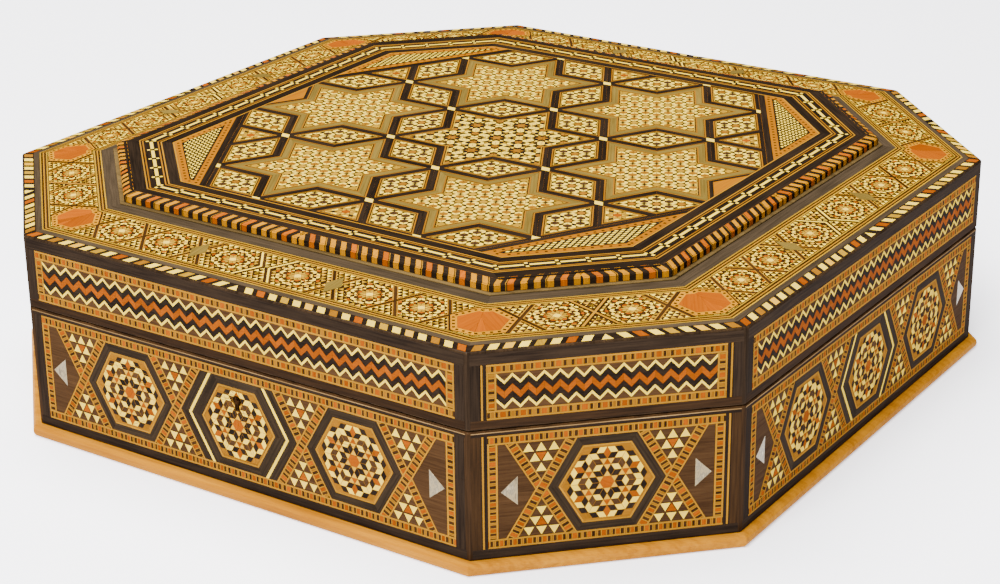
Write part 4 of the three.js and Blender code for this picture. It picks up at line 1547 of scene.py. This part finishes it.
def swell(obj, held, cap):
    """Fills the pad with air as cloth that is held at some points, and keeps its rise under cap."""
    group = obj.vertex_groups.new(name="held")
    group.add(held, 1.0, "ADD")
    cloth = obj.modifiers.new("cloth", "CLOTH")
    configured(cloth.settings, use_pressure=True, uniform_pressure_force=SWELL_PRESSURE)
    cloth.settings.vertex_group_mass = "held"
    cloth.settings.effector_weights.gravity = 0
    scene = bpy.context.scene
    for number in range(1, SWELL_FRAMES + 1):
        scene.frame_set(number)
    swollen = [vertex.co.z for vertex in evaluated(obj).data.vertices]
    obj.modifiers.remove(cloth)
    for vertex, z in zip(obj.data.vertices, swollen):
        rise = max(z - vertex.co.z, 0.0) / MM
        vertex.co.z += cap * (1 - math.exp(-rise / cap)) * MM
    scene.frame_set(1)


def bottom_pad():
    inset = inset_of("bottom_pad") - PAD_SPREAD
    rim = height("bottom_pad", 1) - PAD_DROP
    below_rim = rim - 0.1
    bm = bmesh.new()
    octagon_slab(bm, inset, height("bottom_pad", 0), rim)
    pad = velvet_object("case_pad", bm, "case", "bottom_pad")
    held = []
    for index, vertex in enumerate(pad.data.vertices):
        gap = from_rim(vertex.co, inset)
        if vertex.co.z / MM < below_rim or gap < 1:
            held.append(index)
        if vertex.co.z / MM > below_rim:
            vertex.co.z += PAD_RISE * eased(gap) * MM
    swell(pad, held, PAD_SWELL)
    crease = pad.data.attributes.new("crease_edge", "FLOAT", "EDGE")
    for edge in pad.data.edges:
        foot = min(pad.data.vertices[index].co.z for index in edge.vertices) / MM
        if foot < below_rim:
            crease.data[edge.index].value = 1.0
    configured(pad.modifiers.new("smooth", "SUBSURF"), levels=1, render_levels=1)


def shares(count):
    return [2 * index / count - 1 for index in range(count + 1)]


def crown(share):
    return math.sqrt(max(1 - abs(share) ** 8, 0.0))


def wall_pad(bm, face, inset, thick, low, high):
    """A thin closed pad with a crowned front on one wall, mitred at the corners."""
    spot = place_on(face, inset, 0)
    middle, reach = (low + high) / 2, (high - low) / 2
    columns, rows = round(half_length(face, inset) / 2), round(reach)

    def vertex(s, t, depth):
        along = half_length(face, inset + depth) * s
        return bm.verts.new(spot.point(along, middle + reach * t, -depth))

    front, back = [], []
    swelling = LINING_CROWN - LINING_EDGE
    for t in shares(rows):
        depths = [thick * (LINING_EDGE + swelling * crown(s) * crown(t)) for s in shares(columns)]
        front.append([vertex(s, t, depth) for s, depth in zip(shares(columns), depths)])
        back.append([vertex(s, t, 0.0) for s in shares(columns)])
    for i in range(rows):
        for j in range(columns):
            for grid in (front, back):
                bm.faces.new((grid[i][j], grid[i][j + 1], grid[i + 1][j + 1], grid[i + 1][j]))
    for i in range(rows):
        for j in (0, columns):
            bm.faces.new((front[i][j], front[i + 1][j], back[i + 1][j], back[i][j]))
    for j in range(columns):
        for i in (0, rows):
            bm.faces.new((front[i][j], front[i][j + 1], back[i][j + 1], back[i][j]))


def wall_pads(bm, inset, low, high):
    for face in FACES:
        wall_pad(bm, face, inset + LINING_ROOM, LINING_THICK - 2 * LINING_ROOM, low, high)


def case_lining():
    bm = bmesh.new()
    low, high = height("wall_lining", 0), height("wall_lining", 1)
    wall_pads(bm, inset_of("wall_lining"), low + 0.05, high)
    lining = velvet_object("case_lining", bm, "case", "wall_lining")
    low, high = (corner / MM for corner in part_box("lock_case"))
    low -= Vector((LOCK_ROOM, 5, LOCK_ROOM))
    high += Vector((LOCK_ROOM, 5, 5))
    cut_out(lining, [box_cutter(low, high)])


def lid_lining():
    inset = inset_of("lid_lining")
    top = height("lid_lining", 1)
    rim = top - CEILING_THICK
    bm = bmesh.new()
    octagon_slab(bm, inset + 0.1, rim + 0.8, top)
    for vert in bm.verts:
        if vert.co.z / MM < top - 0.1:
            vert.co.z -= CEILING_SAG * eased(from_rim(vert.co, inset)) * MM
    wall_pads(bm, inset, height("lid_lining", 0), rim + CEILING_SAG)
    velvet_object("lid_padding", bm, "lid", "lid_lining")


# CAD pieces that show as they are: how their names start, their looks and their rounded edges.

CAD_LOOKS = (
    ("base_board", "beech", 0.3),
    *((start, "core", 0.2) for start in ("case_wall_", "lid_wall_", "lid_board", "panel_board")),
    ("panel_veneer", "core", 0.1),
    ("raised_plinth", "ledge", 0.1),
    ("rope_moulding", "dark", 0.1),
    ("hinge_pin_", "steel", 0.1),
    ("lock_spring", "steel", 0.05),
    ("lock_bolt", "steel", 0.1),
    ("hinge_", "brass", 0.1),
    ("lock_case", "brass", 0.1),
    ("link_plate", "brass", 0.1),
)


def dress_cad():
    for name, obj in nodes.items():
        for start, wanted, radius in CAD_LOOKS:
            if name.startswith(start):
                obj.data.materials.clear()
                obj.data.materials.append(look(wanted))
                bevel = obj.modifiers.new("edges", "BEVEL")
                configured(bevel, width=radius * MM, segments=2)
                configured(bevel, limit_method="ANGLE", angle_limit=math.radians(40))
                break


# Camera, floor and light.

CAMERA_AZIMUTH = 33.96
CAMERA_ELEVATION = 22.58
CAMERA_ROLL = -0.64
CAMERA_DISTANCE = 847.1
CAMERA_ACROSS = 0.40
CAMERA_UP = 14.91
CAMERA_LIFT = 4.2
CAMERA_LENS = 81.23
CAMERA_SENSOR = 36
FLOOR_RADIUS = 6
WORLD_STRENGTH = 0.28
# Azimuth, elevation, distance and size in metres, and power in watts.
LAMPS = {"key": (14, 52, 1.7, 1.0, 0.8, 95), "top": (-100, 74, 1.9, 1.3, 1.3, 108)}


def direction(azimuth, elevation):
    flat, up = unit(elevation)
    along, aside = unit(azimuth)
    return Vector((aside * flat, -along * flat, up))


def add_camera():
    data = bpy.data.cameras.new("camera")
    configured(data, lens=CAMERA_LENS, sensor_width=CAMERA_SENSOR, clip_start=0.01, clip_end=20)
    camera = add_object("camera", data)
    back = direction(CAMERA_AZIMUTH, CAMERA_ELEVATION)
    right = Vector((*unit(CAMERA_AZIMUTH), 0))
    up = back.cross(right)
    c, s = unit(CAMERA_ROLL)
    across, upward = right * c + up * s, up * c - right * s
    place = back * CAMERA_DISTANCE + across * CAMERA_ACROSS + upward * CAMERA_UP
    place += Vector((0, 0, CAMERA_LIFT))
    turn = Matrix((across, upward, back)).transposed().to_4x4()
    camera.matrix_world = Matrix.Translation(place * MM) @ turn
    bpy.context.scene.camera = camera


def add_floor():
    bm = bmesh.new()
    bmesh.ops.create_circle(bm, cap_ends=True, segments=96, radius=FLOOR_RADIUS)
    floor = add_shape("floor", bm)
    n = Nodes("floor")
    soft = n.noise(n.position(), 3.0, 2.0)
    inputs = {
        "Base Color": n.mix(soft, rgb(238, 237, 241), rgb(244, 243, 247)),
        "Roughness": n.span(soft, 0.3, 0.7, 0.75, 0.85),
        "Emission Color": rgb(240, 239, 244),
        "Emission Strength": 1.1,
    }
    floor.data.materials.append(n.finish(inputs))


def add_light():
    world = bpy.data.worlds.new("studio")
    world.use_nodes = True
    background = world.node_tree.nodes["Background"]
    background.inputs["Color"].default_value = rgb(243, 242, 246)
    background.inputs["Strength"].default_value = WORLD_STRENGTH
    bpy.context.scene.world = world
    for name, (azimuth, elevation, away, wide, tall, power) in LAMPS.items():
        data = bpy.data.lights.new(name, "AREA")
        configured(data, shape="RECTANGLE", size=wide, size_y=tall, energy=power)
        light = add_object(name, data)
        back = direction(azimuth, elevation)
        light.location = back * away + Vector((0, 0, 0.05))
        light.rotation_euler = back.to_track_quat("Z", "Y").to_euler()


dress_cad()
case_shell()
lid_shell()
for face in FACES:
    case_side(face)
    lid_side(face)
    border_side(face)
    moulding_side(face)
panel_top()
bottom_pad()
case_lining()
lid_lining()
add_camera()
add_floor()
add_light()
